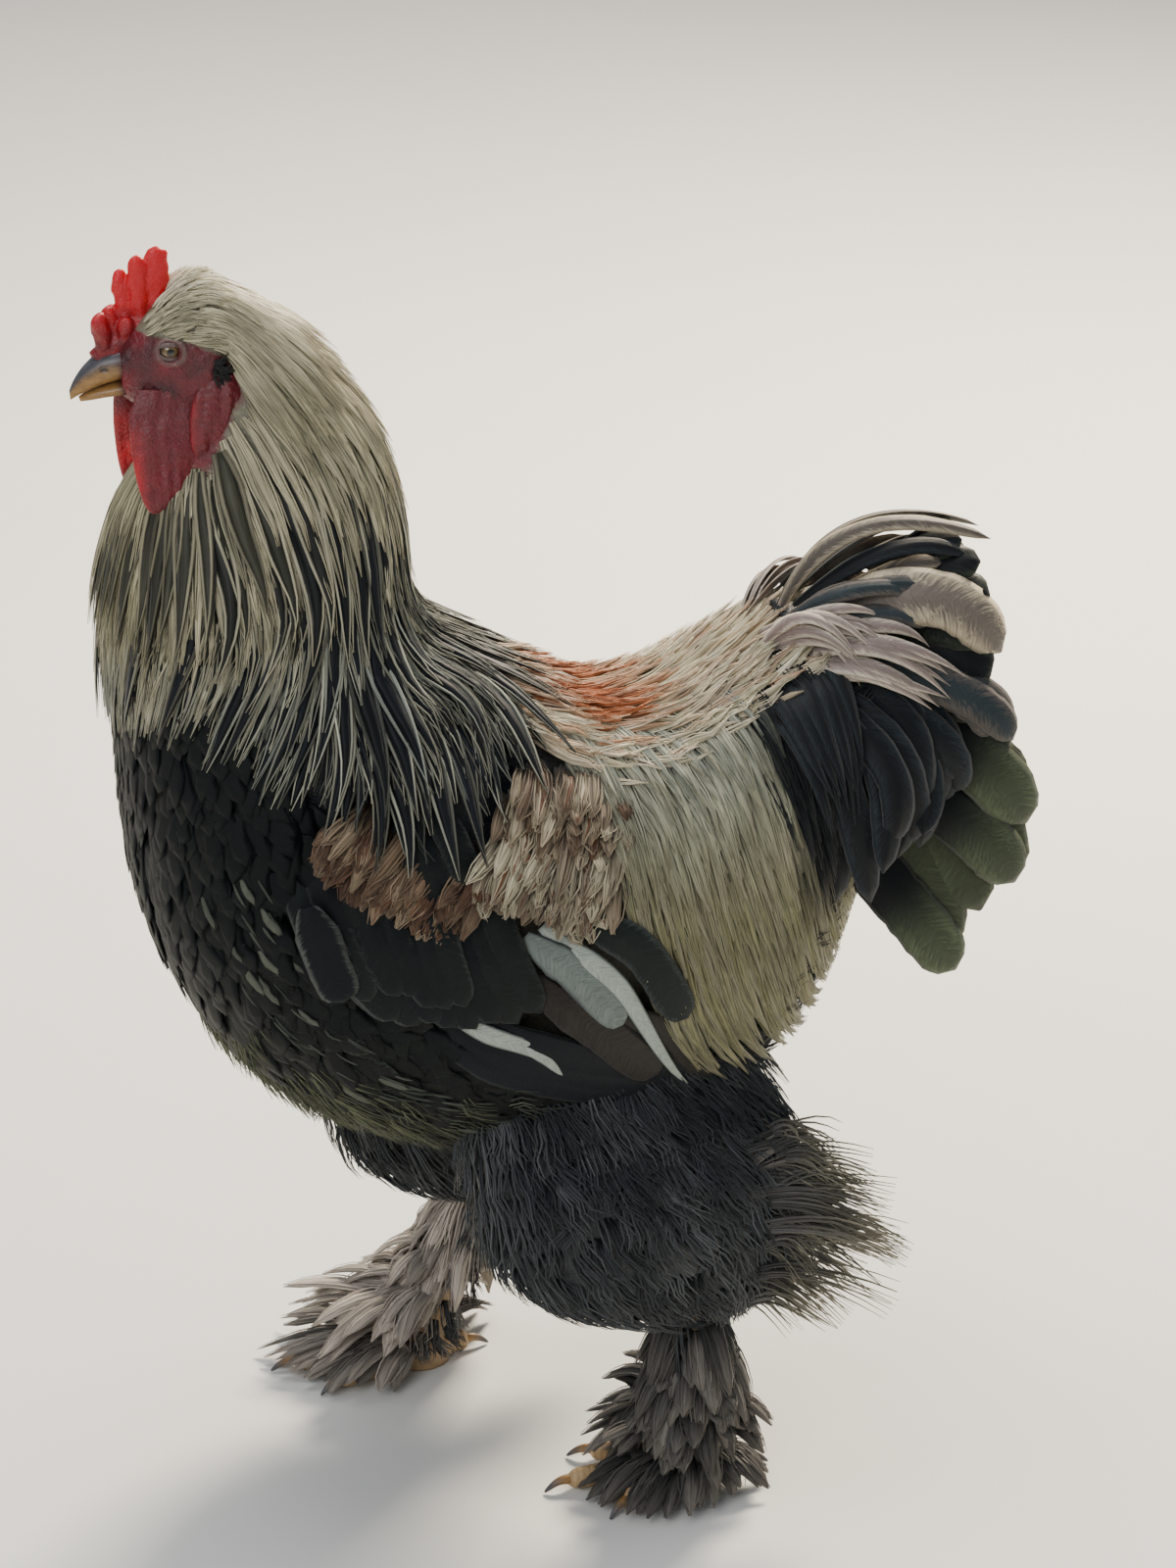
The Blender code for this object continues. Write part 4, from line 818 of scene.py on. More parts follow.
def skin_rings():
    """The skin from beak to rump: the outline less the coat's depth, with the face's own relief."""
    station = np.concatenate([np.linspace(-4.9, 0.6, 115), np.linspace(0.7, 15.9, 60)])[:, None]
    angle = turn_round(170)[None, :]
    place = trunk(station, angle)
    face = bare(place)
    depth = COAT_DEPTH * 0.95 * smooth_step(-0.6, 1.2, station) + 0.0012 * (1 - face)
    eye = np.hypot(place[..., 0] - EYE_CENTRE[0], (place[..., 2] - EYE_CENTRE[2]) * 1.1)
    ear = np.hypot(place[..., 0] - EAR_CENTRE[0], place[..., 2] - EAR_CENTRE[2])
    lids = 0.0016 * hump(eye, 0.0068, 0.0030) - 0.0045 * (1 - smooth_step(0.0030, 0.0056, eye))
    cup = 0.0010 * hump(ear, 0.0060, 0.0030) - 0.0030 * (1 - smooth_step(0.0015, 0.0045, ear))
    folds = 0.00035 * ripple(place * (1, 1, 1.6), 0.005, 11) + 0.00018 * ripple(place, 0.0018, 12)
    near_face = 1 - smooth_step(-1.0, 0.5, station)
    lift = -depth + near_face * (lids + cup) + face * folds
    points = trunk(station, angle, lift)
    # painted shade on the bare face: a mottle between its shaded and its deeper shaded red
    red = mixed(SHADED_FACE_RED, DEEPER_SHADED_RED, 0.5 + 0.35 * ripple(place, 0.02, 13))
    red = mixed(red, LID_GREY, 0.6 * hump(eye, 0.0066, 0.0028))
    # painted shade in the ear's hollow: its opening is painted blue-black
    red = mixed(red, BLUE_BLACK, 1 - smooth_step(0.003, 0.0055, ear))
    crown = mixed(down_colour(station, angle), CREAM_SHADE * 0.6, near_face)
    return points, mixed(crown, red, face)


def build_skin(material):
    """One skin of trunk, thighs and the root of the tail."""
    shell = Shell()
    shell.add(*skin_rings())
    around = turn_round(60)[None, :]
    for side in (LEFT, RIGHT):
        station = np.linspace(0, 7, 40)[:, None]
        shell.add(sliced(THIGHS[side], side, station, around, -0.008), mixed(DOWN_DARK, DOWN_GREY, 0.2))
    shell.add(upright(TAIL_ROOT, np.linspace(0, 4, 24)[:, None], around, -0.004), TAIL_BLACK)
    nodes = ["head", "neck", "torso", "tail"]
    nodes += [part + SIDE_NAMES[side] for side in (LEFT, RIGHT) for part in ("wing_", "thigh_")]
    return shell.piece("skin", material, "face_skin", nodes)


# ---------------------------------------------------------------- head


def build_eye(side, material):
    """An eyeball: a sphere with its pole outwards, swollen there by a bell curve, with iris and pupil."""
    shell = Shell()
    polar = np.linspace(0.03, math.pi - 0.05, 48)[:, None]
    around = turn_round(40)[None, :]
    radius = EYE_RADIUS * (1 + 0.05 * np.exp(-((polar / 0.55) ** 2)))
    x, z = radius * np.sin(polar) * np.cos(around), radius * np.sin(polar) * np.sin(around)
    y = -side * radius * np.cos(polar) + 0 * around
    centre = EYE_CENTRE * (1, -side, 1)
    iris, rim, white = linear("#6e5a34"), linear("#3c2f1c"), linear("#3a2b25")
    ring = mixed(iris, rim, smooth_step(0.50, 0.78, polar))
    tint = mixed(BLUE_BLACK * 0.4, ring, smooth_step(0.30, 0.34, polar))
    tint = mixed(tint, white, smooth_step(0.80, 0.86, polar))
    shell.add(np.stack([x, y, z], -1) + centre, tint + 0 * around[..., None])
    return shell.piece("eyeball_" + SIDE_NAMES[side], material, "eye", ["eye_" + SIDE_NAMES[side]])


def build_lids(side, material):
    """Upper and lower eyelid: tapered rolls of skin along arcs that lie on the eyeball."""
    shell = Shell()
    centre = EYE_CENTRE * (1, -side, 1)
    for half, height, thick in LIDS:
        t = np.linspace(0, 1, 30)
        x = -LID_HALF_LENGTH * np.cos(math.pi * t)
        z = half * height * np.sin(math.pi * t) ** 0.8 - 0.0012 * (t - 0.5)
        y = np.sqrt(np.clip((EYE_RADIUS + 0.0006) ** 2 - x**2 - z**2, 0.0012**2, None))
        path = centre + np.stack([x, -side * y, z], -1)
        radii = thick * np.clip(np.sin(math.pi * (0.08 + 0.84 * t)), 0.2, 1)
        # painted shade: the lids are partly the face's deeper shaded red
        shell.add(tube(path, radii, unit(path - centre), 12), mixed(DEEPER_SHADED_RED, LID_GREY, 0.7))
    return shell.piece("eyelids_" + SIDE_NAMES[side], material, "face_skin")


def build_beak(material):
    """Both halves of the beak: lofts from base to tip, dark along the culmen, with the nostrils' pits."""
    for name, rows in (("beak_upper", BEAK_UPPER), ("beak_lower", BEAK_LOWER)):
        station, angle = np.linspace(0, len(rows) - 1.02, 50)[:, None], turn_round(48)[None, :]
        place = upright(rows, station, angle)
        apart = [np.linalg.norm((place - NOSTRIL * (1, y, 1)) * (0.6, 0.8, 1.4), axis=-1) for y in (-1, 1)]
        hollow = 1 - smooth_step(0.0005, 0.0022, np.minimum(*apart))
        points = upright(rows, station, angle, -0.0016 * hollow)
        culmen = 1 - smooth_step(0.8, 1.9, np.abs(angle) + 0.12 * (station - 2))
        tint = mixed(HORN_PALE, HORN_DARK, culmen if name == "beak_upper" else 0.1 * culmen)
        # painted shade: the beak's base blends into the face's deeper shaded red
        tint = mixed(tint, DEEPER_SHADED_RED, 1 - smooth_step(0.6, 1.5, station + 0 * angle))
        shell = Shell()
        # painted shade in the nostrils' pits: they are painted blue-black
        shell.add(points, mixed(tint, BLUE_BLACK, hollow))
        shell.piece("horn_of_" + name, material, "beak_horn", [name])


def comb_lobe(foot_x, foot_z, tip_x, tip_z, width, thickness, foot_y, tip_y):
    """A leaf of the comb: ellipses along a line from foot to tip, widening and then closing round."""
    t, around = np.linspace(0.0, 1, 26)[:, None], turn_round(28)[None, :]
    full = np.sqrt(np.clip(1 - t**6, 0.004, 1)) * (0.88 + 0.24 * t)
    along = np.array([tip_x - foot_x, tip_z - foot_z])
    across = np.array([along[1], -along[0]]) / np.hypot(*along)
    x = foot_x + along[0] * t + across[0] * width * full * np.cos(around)
    z = foot_z + along[1] * t + across[1] * width * full * np.cos(around)
    y = -(foot_y + (tip_y - foot_y) * t) + thickness * full * np.sin(around)
    points = np.stack(np.broadcast_arrays(x, y, z), -1)
    return points + 0.0006 * ripple(points, 0.008, 31)[..., None] * (1, 0.6, 1)


def comb_skin():
    """The comb: living skin, dark at its foot with painted shade and brighter up its thin lobes with painted
    light, as where the light comes through them.
    """
    material, tree, shader = new_material("comb_skin", Roughness=0.42, Subsurface_Weight=0.35,
                                          Subsurface_Scale=0.006, Subsurface_Radius=(1.0, 0.2, 0.1))
    spot = add(tree, "TexCoord").outputs["Object"]
    pimples = add(tree, "TexVoronoi", {"Vector": spot, "Scale": 1000.0}, feature="SMOOTH_F1")  # 1 mm apart
    folds = add(tree, "TexNoise", {"Vector": spot, "Scale": 260.0, "Detail": 3.0})
    height = add(tree, "SeparateXYZ", {0: spot})
    # painted shade and light: dark red at the comb's foot, brighter red with height over the head, mottled by its
    # folds
    low, high = 0.664 + SHIFT[2], 0.700 + SHIFT[2]
    up = add(tree, "MapRange", {0: height.outputs[2], 1: low, 2: high}, interpolation_type="SMOOTHSTEP")
    mottle_and_painted_light = add(tree, "Math", {0: folds, 1: 0.5, 2: up}, operation="MULTIPLY_ADD")
    colour = add(tree, "Mix", {0: mottle_and_painted_light, 6: (*DEEPER_SHADED_RED, 1), 7: (*COMB_RED, 1)}, data_type="RGBA")
    bump = add(tree, "Bump", {"Height": pimples, "Distance": 0.0006, "Strength": 0.6}, invert=True)
    dress(tree, shader, colour, bump)
    return material


def build_comb(material):
    """The comb's lobes, grown together."""
    shell = Shell()
    for row in COMB_LOBES:
        shell.add(comb_lobe(*row), COMB_RED)
    comb = shell.piece("comb_lobes", material, "comb_skin", ["comb"])
    grown = comb.modifiers.new("grown together", "REMESH")
    grown.mode, grown.voxel_size = "VOXEL", COMB_GRAIN
    soft = comb.modifiers.new("soft", "SMOOTH")
    soft.factor, soft.iterations = 0.5, 6


def build_wattles(side, material):
    """Wattle and earlobe: thin folds that hang from jaw and ear, with soft creases down them."""
    for name, rows, depth in (("wattle", WATTLE, 1.0), ("earlobe", EARLOBE, 0.5)):
        last = len(rows) - 1
        station, angle = np.linspace(0, last - 0.01, 56)[:, None], turn_round(56)[None, :]
        drop = WATTLE_DROP[side] * depth * np.arange(last + 1) / last
        longer = rows - np.array([1.0, 0, 0, 0, 0]) * drop[:, None]
        place = sliced(longer, side, station, angle)
        crease = 0.0008 * ripple(place * (1, 1, 0.3), 0.007, 41) + 0.0003 * ripple(place, 0.0025, 42)
        crease = crease * (1 - smooth_step(0.6, 0.95, station / last)) * np.abs(np.sin(angle))
        points = sliced(longer, side, station, angle, crease)
        middle = hump(station / last, 0.62, 0.5) * depth
        # painted shade and light: the near, left fold is a darker red that brightens only near its front edge;
        # the far one is full red and brightens to comb red round its middle, as where light comes through it
        front = 0.10 + 0.75 * smooth_step(0.55, 0.95, np.cos(angle)) if side == LEFT else 1.0
        bright = middle * (0.75 + 0.25 * ripple(place, 0.015, 43)) * front
        shell = Shell()
        shell.add(points, mixed(mixed(DEEPER_SHADED_RED, SHADED_FACE_RED, 0.65 if side == LEFT else 1.0), COMB_RED, bright))
        shell.piece(name + "_skin_" + SIDE_NAMES[side], material, "comb_skin", [name + "_" + SIDE_NAMES[side]])


# ---------------------------------------------------------------- hackle and saddle


# change of angle for each station, at these angles, along the hackle of the neck and along the cape
FLOW_ANGLES = (0.0, 0.25, 0.85, 1.30, 1.60, 1.85, 1.97, 2.10, 2.50, 3.00, 3.15)
NECK_FLOW = (0.0, 0.08, 0.03, -0.04, -0.07, -0.06, 0.0, 0.04, 0.07, 0.02, 0.0)
CAPE_FLOW = (0.0, 0.0, 0.02, 0.14, 0.38, 0.43, 0.40, 0.36, 0.22, 0.06, 0.0)


def hackle_flow(station, angle):
    """How the hackle falls: parted on the side of the throat, forwards over the shoulder, then straight down."""
    size = np.abs(angle)
    low = smooth_step(3.8, 5.4, station)
    turn = np.interp(size, FLOW_ANGLES, NECK_FLOW) * (1 - low) + np.interp(size, FLOW_ANGLES, CAPE_FLOW) * low
    return np.sign(angle) * (turn + 0.25 * smooth_step(6.8, 8.2, station) * hump(size, 0.8, 0.75))


def hackle_colours(tip, angle, rng):
    """Barb and stripe colours by the station of the tip: cream above, silver and blue-black below."""
    pick = rng.uniform(0, 1, len(tip))
    below = smooth_step(4.2, 6.2, tip)[:, None]
    silver = mixed(SILVER * 0.55, mixed(SILVER, CREAM, 0.5), pick)
    barb = mixed(CREAM_SHADE, CREAM, pick) * (1 - below) + silver * below
    crown = hump(np.abs(angle), 0.0, 1.0) * (1 - smooth_step(0.5, 4.0, tip))
    barb = mixed(barb, IVORY, crown * 0.7)
    # painted shade on the front of the neck: its barbs are mixed towards khaki
    front = smooth_step(1.9, 2.5, np.abs(angle)) * (1 - smooth_step(4.6, 5.6, tip))
    barb = mixed(barb, PAINTED_SHADE_KHAKI, 0.35 * front)
    return barb[:, None], mixed(CREAM_DARK, BLUE_BLACK, smooth_step(3.4, 5.4, tip))[:, None]


def build_hackle(side, material):
    """The hackle of crown and neck, finer and closer towards the head."""
    rng = np.random.default_rng(100 + side)
    for zone, stations, angles, spacing, rows in (
            ("crown", (-3.9, 0.9), (0.0, 3.12), 0.0042, 5), ("neck", (0.3, 4.8), (0.0, 3.12), 0.0101, 7),
            ("throat", (0.2, 3.4), (1.7, 3.12), 0.0078, 6)):
        station, angle = scatter(trunk, stations, angles, spacing, rng)
        keep = (bare(trunk(station, angle)) < 0.75) & ~((angle > 2.75) & (station < 0.9))
        keep &= ~((angle < 0.45) & (station < -3.1))
        station, angle = station[keep], angle[keep]
        length = np.interp(station, (-4, -2, 0, 1.5, 3, 6), (0.009, 0.016, 0.036, 0.060, 0.075, 0.082))
        length = length * rng.uniform(0.8, 1.1, len(station))
        stations, angles = trace(trunk, station, angle * side, length, hackle_flow, rows)
        inside = stations[:, -1] < cape_end(angles[:, -1]) + 0.1
        station, angle, stations, angles = (values[inside] for values in (station, angle, stations, angles))
        count, tip = len(station), stations[:, -1]
        half = np.interp(station, (-4, -1, 1, 3, 6), (0.0012, 0.0022, 0.0036, 0.0048, 0.0056))
        dome = 0.006 * hump(station, -2.5, 1.8) * hump(angle, 0.0, 1.2)
        low = -0.0118 * smooth_step(-0.6, 1.3, station) - 0.0010
        high = np.where(station < 0, 0.0004, -0.001) + dome - rng.uniform(0, 0.003, count) * (station > 0)
        lifts = low[:, None] + (high - low)[:, None] * np.linspace(0, 1, rows) ** 0.7
        spine, up = laid(trunk, stations, angles, lifts, rng, 0.015)
        barb, stripe = hackle_colours(tip, angle, rng)
        reached = tip - 1.4 * smooth_step(1.7, 2.3, angle)
        striped = rng.uniform(0, 1, count) < np.interp(reached, (1.5, 3.5, 5.5), (0.05, 0.15, 0.8))
        dark = striped * np.interp(reached, (0.5, 2.5, 4.5, 6.0), (0.06, 0.10, 0.30, 0.55))
        coat = Coat()
        lock(coat, spine, up, half, on_map(station, angle * side), stripe, barb, rng, dark=dark, tone=0.11)
        coat.piece(f"hackle_{zone}_{SIDE_NAMES[side]}", material, "hackle_feather")


def build_cape(side, material):
    """The lower hackle over back and shoulder: a close ground, then tiers of long striped feathers over it."""
    rng = np.random.default_rng(150 + side)
    coat = Coat()
    station, angle = scatter(trunk, (4.4, 9.3), (0.0, 3.12), 0.0112, rng)
    tier, turn = np.meshgrid(np.arange(4), np.arange(26), indexing="ij")
    top_angle = (0.05 + 0.118 * (turn + 0.5 * (tier % 2))).ravel() + rng.normal(0, 0.015, tier.size)
    top_station = cape_end(top_angle) - 0.1 - 1.25 * tier.ravel() + rng.normal(0, 0.12, tier.size)
    # tips, rows, shortest and longest in metres, half width, stripe, heights of root and tip, and how far the
    # tips stay behind the edge
    for station, angle, rows, short, long, half, dark, low, high, behind in (
            (station, angle, 7, 0.050, 0.068, 0.0060, 0.80, -0.0135, -0.0030, 0.4),
            (top_station, top_angle, 10, 0.082, 0.098, 0.0072, 0.74, -0.0105, 0.0008, 0.0)):
        keep = (station < cape_end(angle) - behind + rng.normal(0, 0.06, len(station))) & (station > 4.0)
        station, angle = station[keep], angle[keep]
        count = len(station)
        length = -rng.uniform(short, long, count)
        stations, angles = trace(trunk, station, angle * side, length, hackle_flow, rows)
        over_wing = 0.010 * smooth_step(6.2, 7.6, station) * hump(angle, 1.4, 0.8)
        over_wing = over_wing + 0.002 * smooth_step(1.8, 2.0, angle)
        lifts = low + (high + over_wing[:, None] - low) * np.linspace(0, 1, rows) ** 0.7
        spine, up = laid(trunk, stations, angles, lifts - rng.uniform(0, 0.0015, (count, 1)), rng, 0.02)
        barb, stripe = hackle_colours(station, angle, rng)
        bright = rng.uniform(0.25, 1.1, count) * (1 - 0.3 * smooth_step(5.5, 7.5, station))
        width = rng.uniform(0.8, 1.1, count)
        broad = dark * np.interp(angle, (1.4, 2.2), (1.0, 0.7))
        place = on_map(stations[:, 0], angles[:, 0])
        lock(coat, spine, up, half * width, place, stripe, barb * bright[:, None, None], rng, strands=2,
             dark=broad, tone=0.3, wave=0.0010, fine=0.17)
    coat.piece("hackle_cape_" + SIDE_NAMES[side], material, "hackle_feather")


def build_ear(side, material):
    """The stiff dark bristles that cover the ear's opening."""
    rng = np.random.default_rng(180 + side)
    count = 60
    across, heading = rng.uniform(-1, 1, (count, 2)), rng.normal(-0.35, 0.5, count)
    root = EAR_CENTRE + np.stack([0.003 * across[:, 0] - 0.003, 0 * heading, 0.0045 * across[:, 1]], -1)
    t = np.linspace(0, 1, 6)[None, :, None]
    along = np.stack([np.cos(heading), 0 * heading, np.sin(heading)], -1)[:, None]
    path = root[:, None] + along * t * rng.uniform(0.006, 0.010, (count, 1, 1))
    path = path + (0, 0.0022, 0) * np.sin(math.pi * t)
    coat = Coat()
    colour = mixed(BLUE_BLACK, QUILL_BROWN, rng.uniform(0, 1, count))[:, None]
    place = on_map(np.full(count, -2.0), 1.6 * side)
    coat.add(path * (1, -side, 1), np.array((0.0, -side, 0.0)), 0.0006, wisp, place, colour, colour)
    coat.piece("ear_bristles_" + SIDE_NAMES[side], material, "hackle_feather")


def saddle_path(share, along):
    """(station, angle) on the saddle's lines of fall: from the ridge of the back down to the curtain's edge."""
    start = np.stack([8.8 + 3.1 * share, np.full_like(share, 0.22)], -1)
    end = np.stack([12.15 + 2.3 * share, 1.92 + 0.45 * share], -1)
    way = start[..., None, :] + (end - start)[..., None, :] * along[..., None]
    return way[..., 0], way[..., 1] - 0.13 * np.sin(math.pi * np.clip(along, 0, 1))


def build_saddle(side, material):
    """The saddle hackle: long silky feathers that fall from the back over both sides of the rump."""
    rng = np.random.default_rng(200 + side)
    count, rows = 455, 8
    share, first = rng.uniform(-0.13, 1.5, count), rng.uniform(-0.12, 0.72, count)
    span = rng.uniform(0.38, 0.52, count)
    along = first[:, None] + span[:, None] * np.linspace(0, 1, rows)
    stations, angles = saddle_path(share, along)
    over_wing = 0.007 * smooth_step(0.35, 0.7, along) + 0.005 * smooth_step(0.85, 1.2, along)
    lifts = rising(rows, -0.014, 0.0) - rng.uniform(0, 0.0022, (count, 1)) + over_wing
    spine, up = laid(trunk, stations, angles * side, lifts, rng, 0.03)
    pick = rng.uniform(0, 1, (count, 1))
    above = mixed(SILVER * 0.8, CREAM, 0.15 + 0.5 * pick)
    blue = smooth_step(0.7, 1.1, share)[:, None] * (1 - smooth_step(0.2, 0.5, along))
    above = mixed(above, TAIL_BLUE * (1 + 0.6 * pick[..., None]), 0.6 * blue)
    # painted shade on the lower curtain: the barbs turn khaki down towards its edge
    barb = mixed(above, mixed(PAINTED_SHADE_KHAKI, CREAM_SHADE, pick), smooth_step(0.2, 0.8, along))
    covert = smooth_step(0.84, 0.96, share + rng.normal(0, 0.04, count))[:, None]
    barb = mixed(barb, TAIL_BLACK, covert * (1 - smooth_step(0.70, 0.85, along)))
    stripe = mixed(CREAM_DARK, BLUE_BLACK, 0.6) + 0 * barb
    striped = rng.uniform(0, 1, count) < 0.3
    coat = Coat()
    place = on_map(stations[:, 0], angles[:, 0] * side)
    dark = striped * rng.uniform(0.05, 0.14, count)
    lock(coat, spine, up, 0.0056, place, stripe, barb, rng, dark=dark, tone=0.12)
    coat.piece("saddle_" + SIDE_NAMES[side], material, "hackle_feather")


def build_back(side, material):
    """The rust and cream feathers of the back, between cape and tail."""
    rng = np.random.default_rng(300 + side)
    station, angle = scatter(trunk, (7.6, 13.2), (0.0, 0.55), 0.0080, rng)
    count = len(station)
    length = rng.uniform(0.030, 0.045, count)
    lifts = rising(6, -0.013, 0.001) - rng.uniform(0, 0.004, (count, 1))
    turn = rng.normal(0.05, 0.05, count) * side
    spine, up = lie(trunk, station, angle * side, length, turn, lifts, 6, rng, 0.03)
    red = hump(station + 1.0, 9.8, 1.9) * (1 - smooth_step(0.25, 0.50, angle))
    red = np.clip(red * 1.1 + rng.normal(0, 0.25, count), 0, 1)
    barb = mixed(mixed(CREAM, IVORY, rng.uniform(0, 1, count)), RUST, red)[:, None]
    dark = rng.uniform(0.06, 0.26, count) * (rng.uniform(0, 1, count) < 0.4)
    coat = Coat()
    lock(coat, spine, up, 0.0042, on_map(station, angle * side), CHESTNUT * 0.8 + 0 * barb, barb, rng, dark=dark)
    coat.piece("back_" + SIDE_NAMES[side], material, "body_feather")


def build_shoulder(side, material):
    """The chestnut and cream barbs that come out loose under the cape, over the wing's shoulder."""
    rng = np.random.default_rng(400 + side)
    coat = Coat()
    # count, stations, then the angle of the lower edge at both ends, its depth, the tips' height, the paler share
    for count, low, high, edge_low, edge_high, depth, over, pale in (
            (130, 7.30, 9.05, 1.79, 1.54, 0.24, 0.007, 0.22), (70, 8.7, 10.2, 1.16, 1.08, 0.36, 0.004, 0.50),
            (110, 8.9, 10.38, 1.38, 1.34, 0.30, 0.009, 0.66)):
        share = rng.uniform(0, 1, count)
        station = low + (high - low) * share
        fall = rng.normal(0.24, 0.07, count).clip(0.10, 0.40)
        angle = edge_low + (edge_high - edge_low) * share - fall - rng.uniform(0, depth, count) ** 1.5
        t = np.linspace(0, 1, 6)
        stations = station[:, None] + rng.normal(0.05, 0.12, count)[:, None] * t
        angles = angle[:, None] + fall[:, None] * t
        lifts = rising(6, -0.013, over, 0.7) + rng.normal(0, 0.0015, (count, 1)) * t
        spine, up = laid(trunk, stations, angles * side, lifts, rng, 0.02)
        light = np.clip(pale + rng.normal(0, 0.25, count), 0, 1)
        barb = mixed(CHESTNUT, mixed(TAN, mixed(CREAM, PALE_GREY, 0.4), pale), light ** 1.3)[:, None]
        # painted shade: each tuft is dark at its root, where it comes out under the cape, and full towards its
        # tip
        barb = mixed(barb * 0.25, barb * 1.05, smooth_step(0.1, 0.8, t))
        stripe = mixed(QUILL_BROWN, mixed(CHESTNUT, RUST, 0.2), rng.uniform(0, 1, count))[:, None]
        lock(coat, spine, up, 0.0058, on_map(station, angle * side), stripe, barb, rng, strands=4, outline=leaf,
             tone=0.30, blade=leaf, wave=0.0014, fine=0.12, dark=rng.uniform(0, 0.34, count))
    coat.piece("shoulder_" + SIDE_NAMES[side], material, "body_feather")


# ---------------------------------------------------------------- breast, belly, wings


def build_breast(side, material):
    """Short round feathers that lie like tiles on breast and flank."""
    rng = np.random.default_rng(500 + side)
    station, angle = scatter(trunk, (4.2, 13.0), (1.55, 3.12), 0.0100, rng)
    keep = station > np.interp(angle, (1.55, 1.9, 2.2, 2.7, 3.15), (7.2, 5.2, 4.6, 4.3, 4.2))
    keep &= angle > np.interp(station, (7, 8, 12, 13), (1.55, 1.75, 1.95, 2.2))
    station, angle = station[keep], angle[keep]
    count = len(station)
    length = np.interp(station, (4, 8, 13), (0.028, 0.034, 0.038)) * rng.uniform(0.8, 1.2, count)
    under = 0.0022 * (1 - smooth_step(5.6, 7.2, station))
    lifts = rising(6, -0.0050, 0.0, 0.8) - rng.uniform(0, 0.0012, (count, 1)) - under[:, None]
    spine, up = lie(trunk, station, angle * side, length, rng.normal(0, 0.07, count) * side, lifts, 6, rng, 0.03)
    flank = smooth_step(7.0, 9.5, station) * smooth_step(1.9, 2.3, angle)
    centre = mixed(mixed(BLUE_BLACK, GREEN_BLACK, rng.uniform(0, 1, count)) * 0.6, QUILL_BROWN, 0.4 * flank)
    edge = mixed(mixed(BLUE_BLACK, SLATE, 0.12) * 0.7, BREAST_LACE, 0.9 * flank * rng.uniform(0, 1, count))
    coat = Coat()
    shape = {"section": TILE, "thickness": 0.0002, "rag": 0.5, "rng": rng}
    half_width = np.interp(station, (4, 8, 13), (0.0072, 0.0082, 0.0074))
    coat.add(spine, up, half_width, leaf, on_map(station, angle * side), centre[:, None], edge[:, None],
             camber=0.05, **shape)
    # narrow straight feathers over the tiles of the flank, some of them broad blotches
    count = 70
    station = rng.uniform(7.0, 11.4, count)
    angle = 2.04 + 0.04 * (station - 7.0) + rng.uniform(0, 0.40, count) ** 1.2
    lifts = rising(6, -0.003, 0.0010, 0.6)
    length = rng.uniform(0.012, 0.024, count)
    spine, up = lie(trunk, station, angle * side, length, -0.04 * side, lifts, 6, rng, 0.004)
    blotch = rng.uniform(0, 1, count) < np.where(station < 8.4, 0.35, 0.06)
    colour = mixed(BREAST_LACE, mixed(PALE_GREY, CREAM_SHADE, 0.5), rng.uniform(0.0, 0.4, count) + 0.35 * blotch)
    half_width = np.where(blotch, 0.0028, 0.0011) * rng.uniform(0.8, 1.3, count)
    coat.add(spine, up, half_width, leaf, on_map(station, angle * side), colour[:, None] * 0.4,
             colour[:, None] * 0.3, camber=0.2, **shape)
    coat.piece("breast_" + SIDE_NAMES[side], material, "body_feather")


def build_belly(side, material):
    """Soft down of belly, flank and vent."""
    rng = np.random.default_rng(600 + side)
    coat = Coat()
    station, angle = scatter(trunk, (8.4, 15.2), (0.4, 3.13), 0.0119, rng)
    keep = angle > np.interp(station, (8.4, 10, 12, 13, 13.8, 14.6), (2.55, 2.2, 2.1, 1.95, 1.2, 0.4))
    station, angle = station[keep], angle[keep]
    count = len(station)
    length = rng.uniform(0.026, 0.042, count)
    length = np.where(angle < 1.6, np.minimum(length, 0.026 * (15.9 - station)), length)
    lifts = ruffled(-0.010, 0.001, 0.7, count, rng)
    turn = rng.normal(0, 0.06, count)
    spine, up = lie(trunk, station, angle * side, length, turn * side, lifts, TUFT_ROWS, rng, 0.03)
    olive = 1 - smooth_step(9.5, 11.5, station)
    barb = mixed(mixed(DOWN_DARK, DOWN_GREY, rng.uniform(0, 0.8, count)), DOWN_OLIVE, 0.8 * olive)[:, None]
    tufts(coat, spine, up, 0.0070, on_map(station, angle * side), barb, rng)
    # the tufts that hang from the blunt end of the rump, under the tail
    back_x, back_z, _, front_z, width = BODY[-1]
    count = 110
    turn, reach = rng.uniform(-math.pi / 2, math.pi / 2, count), np.sqrt(rng.uniform(0, 1, count))
    y, z = width * reach * np.cos(turn), (back_z + front_z) / 2 + (back_z - front_z) / 2 * reach * np.sin(turn)
    root = np.stack([0 * y + back_x - 0.004, -side * y, z], -1)
    fall = np.stack([rng.uniform(0.004, 0.014, count), -side * rng.uniform(-0.004, 0.008, count),
                     -rng.uniform(0.022, 0.036, count)], -1)
    t = np.linspace(0, 1, TUFT_ROWS)[None, :, None]
    path = root[:, None] + fall[:, None] * t + np.array((0.008, 0, 0)) * np.sin(math.pi * t)
    up = np.array((1.0, 0, 0.3)) + rng.normal(0, 0.15, (count, 1, 3))
    barb = mixed(DOWN_DARK, DOWN_GREY, rng.uniform(0, 0.8, count))[:, None]
    tufts(coat, path, up, 0.0075, on_map(15.9 + 0 * y, (1.57 + turn) * side), barb, rng)
    coat.piece("belly_" + SIDE_NAMES[side], material, "fluff_feather")


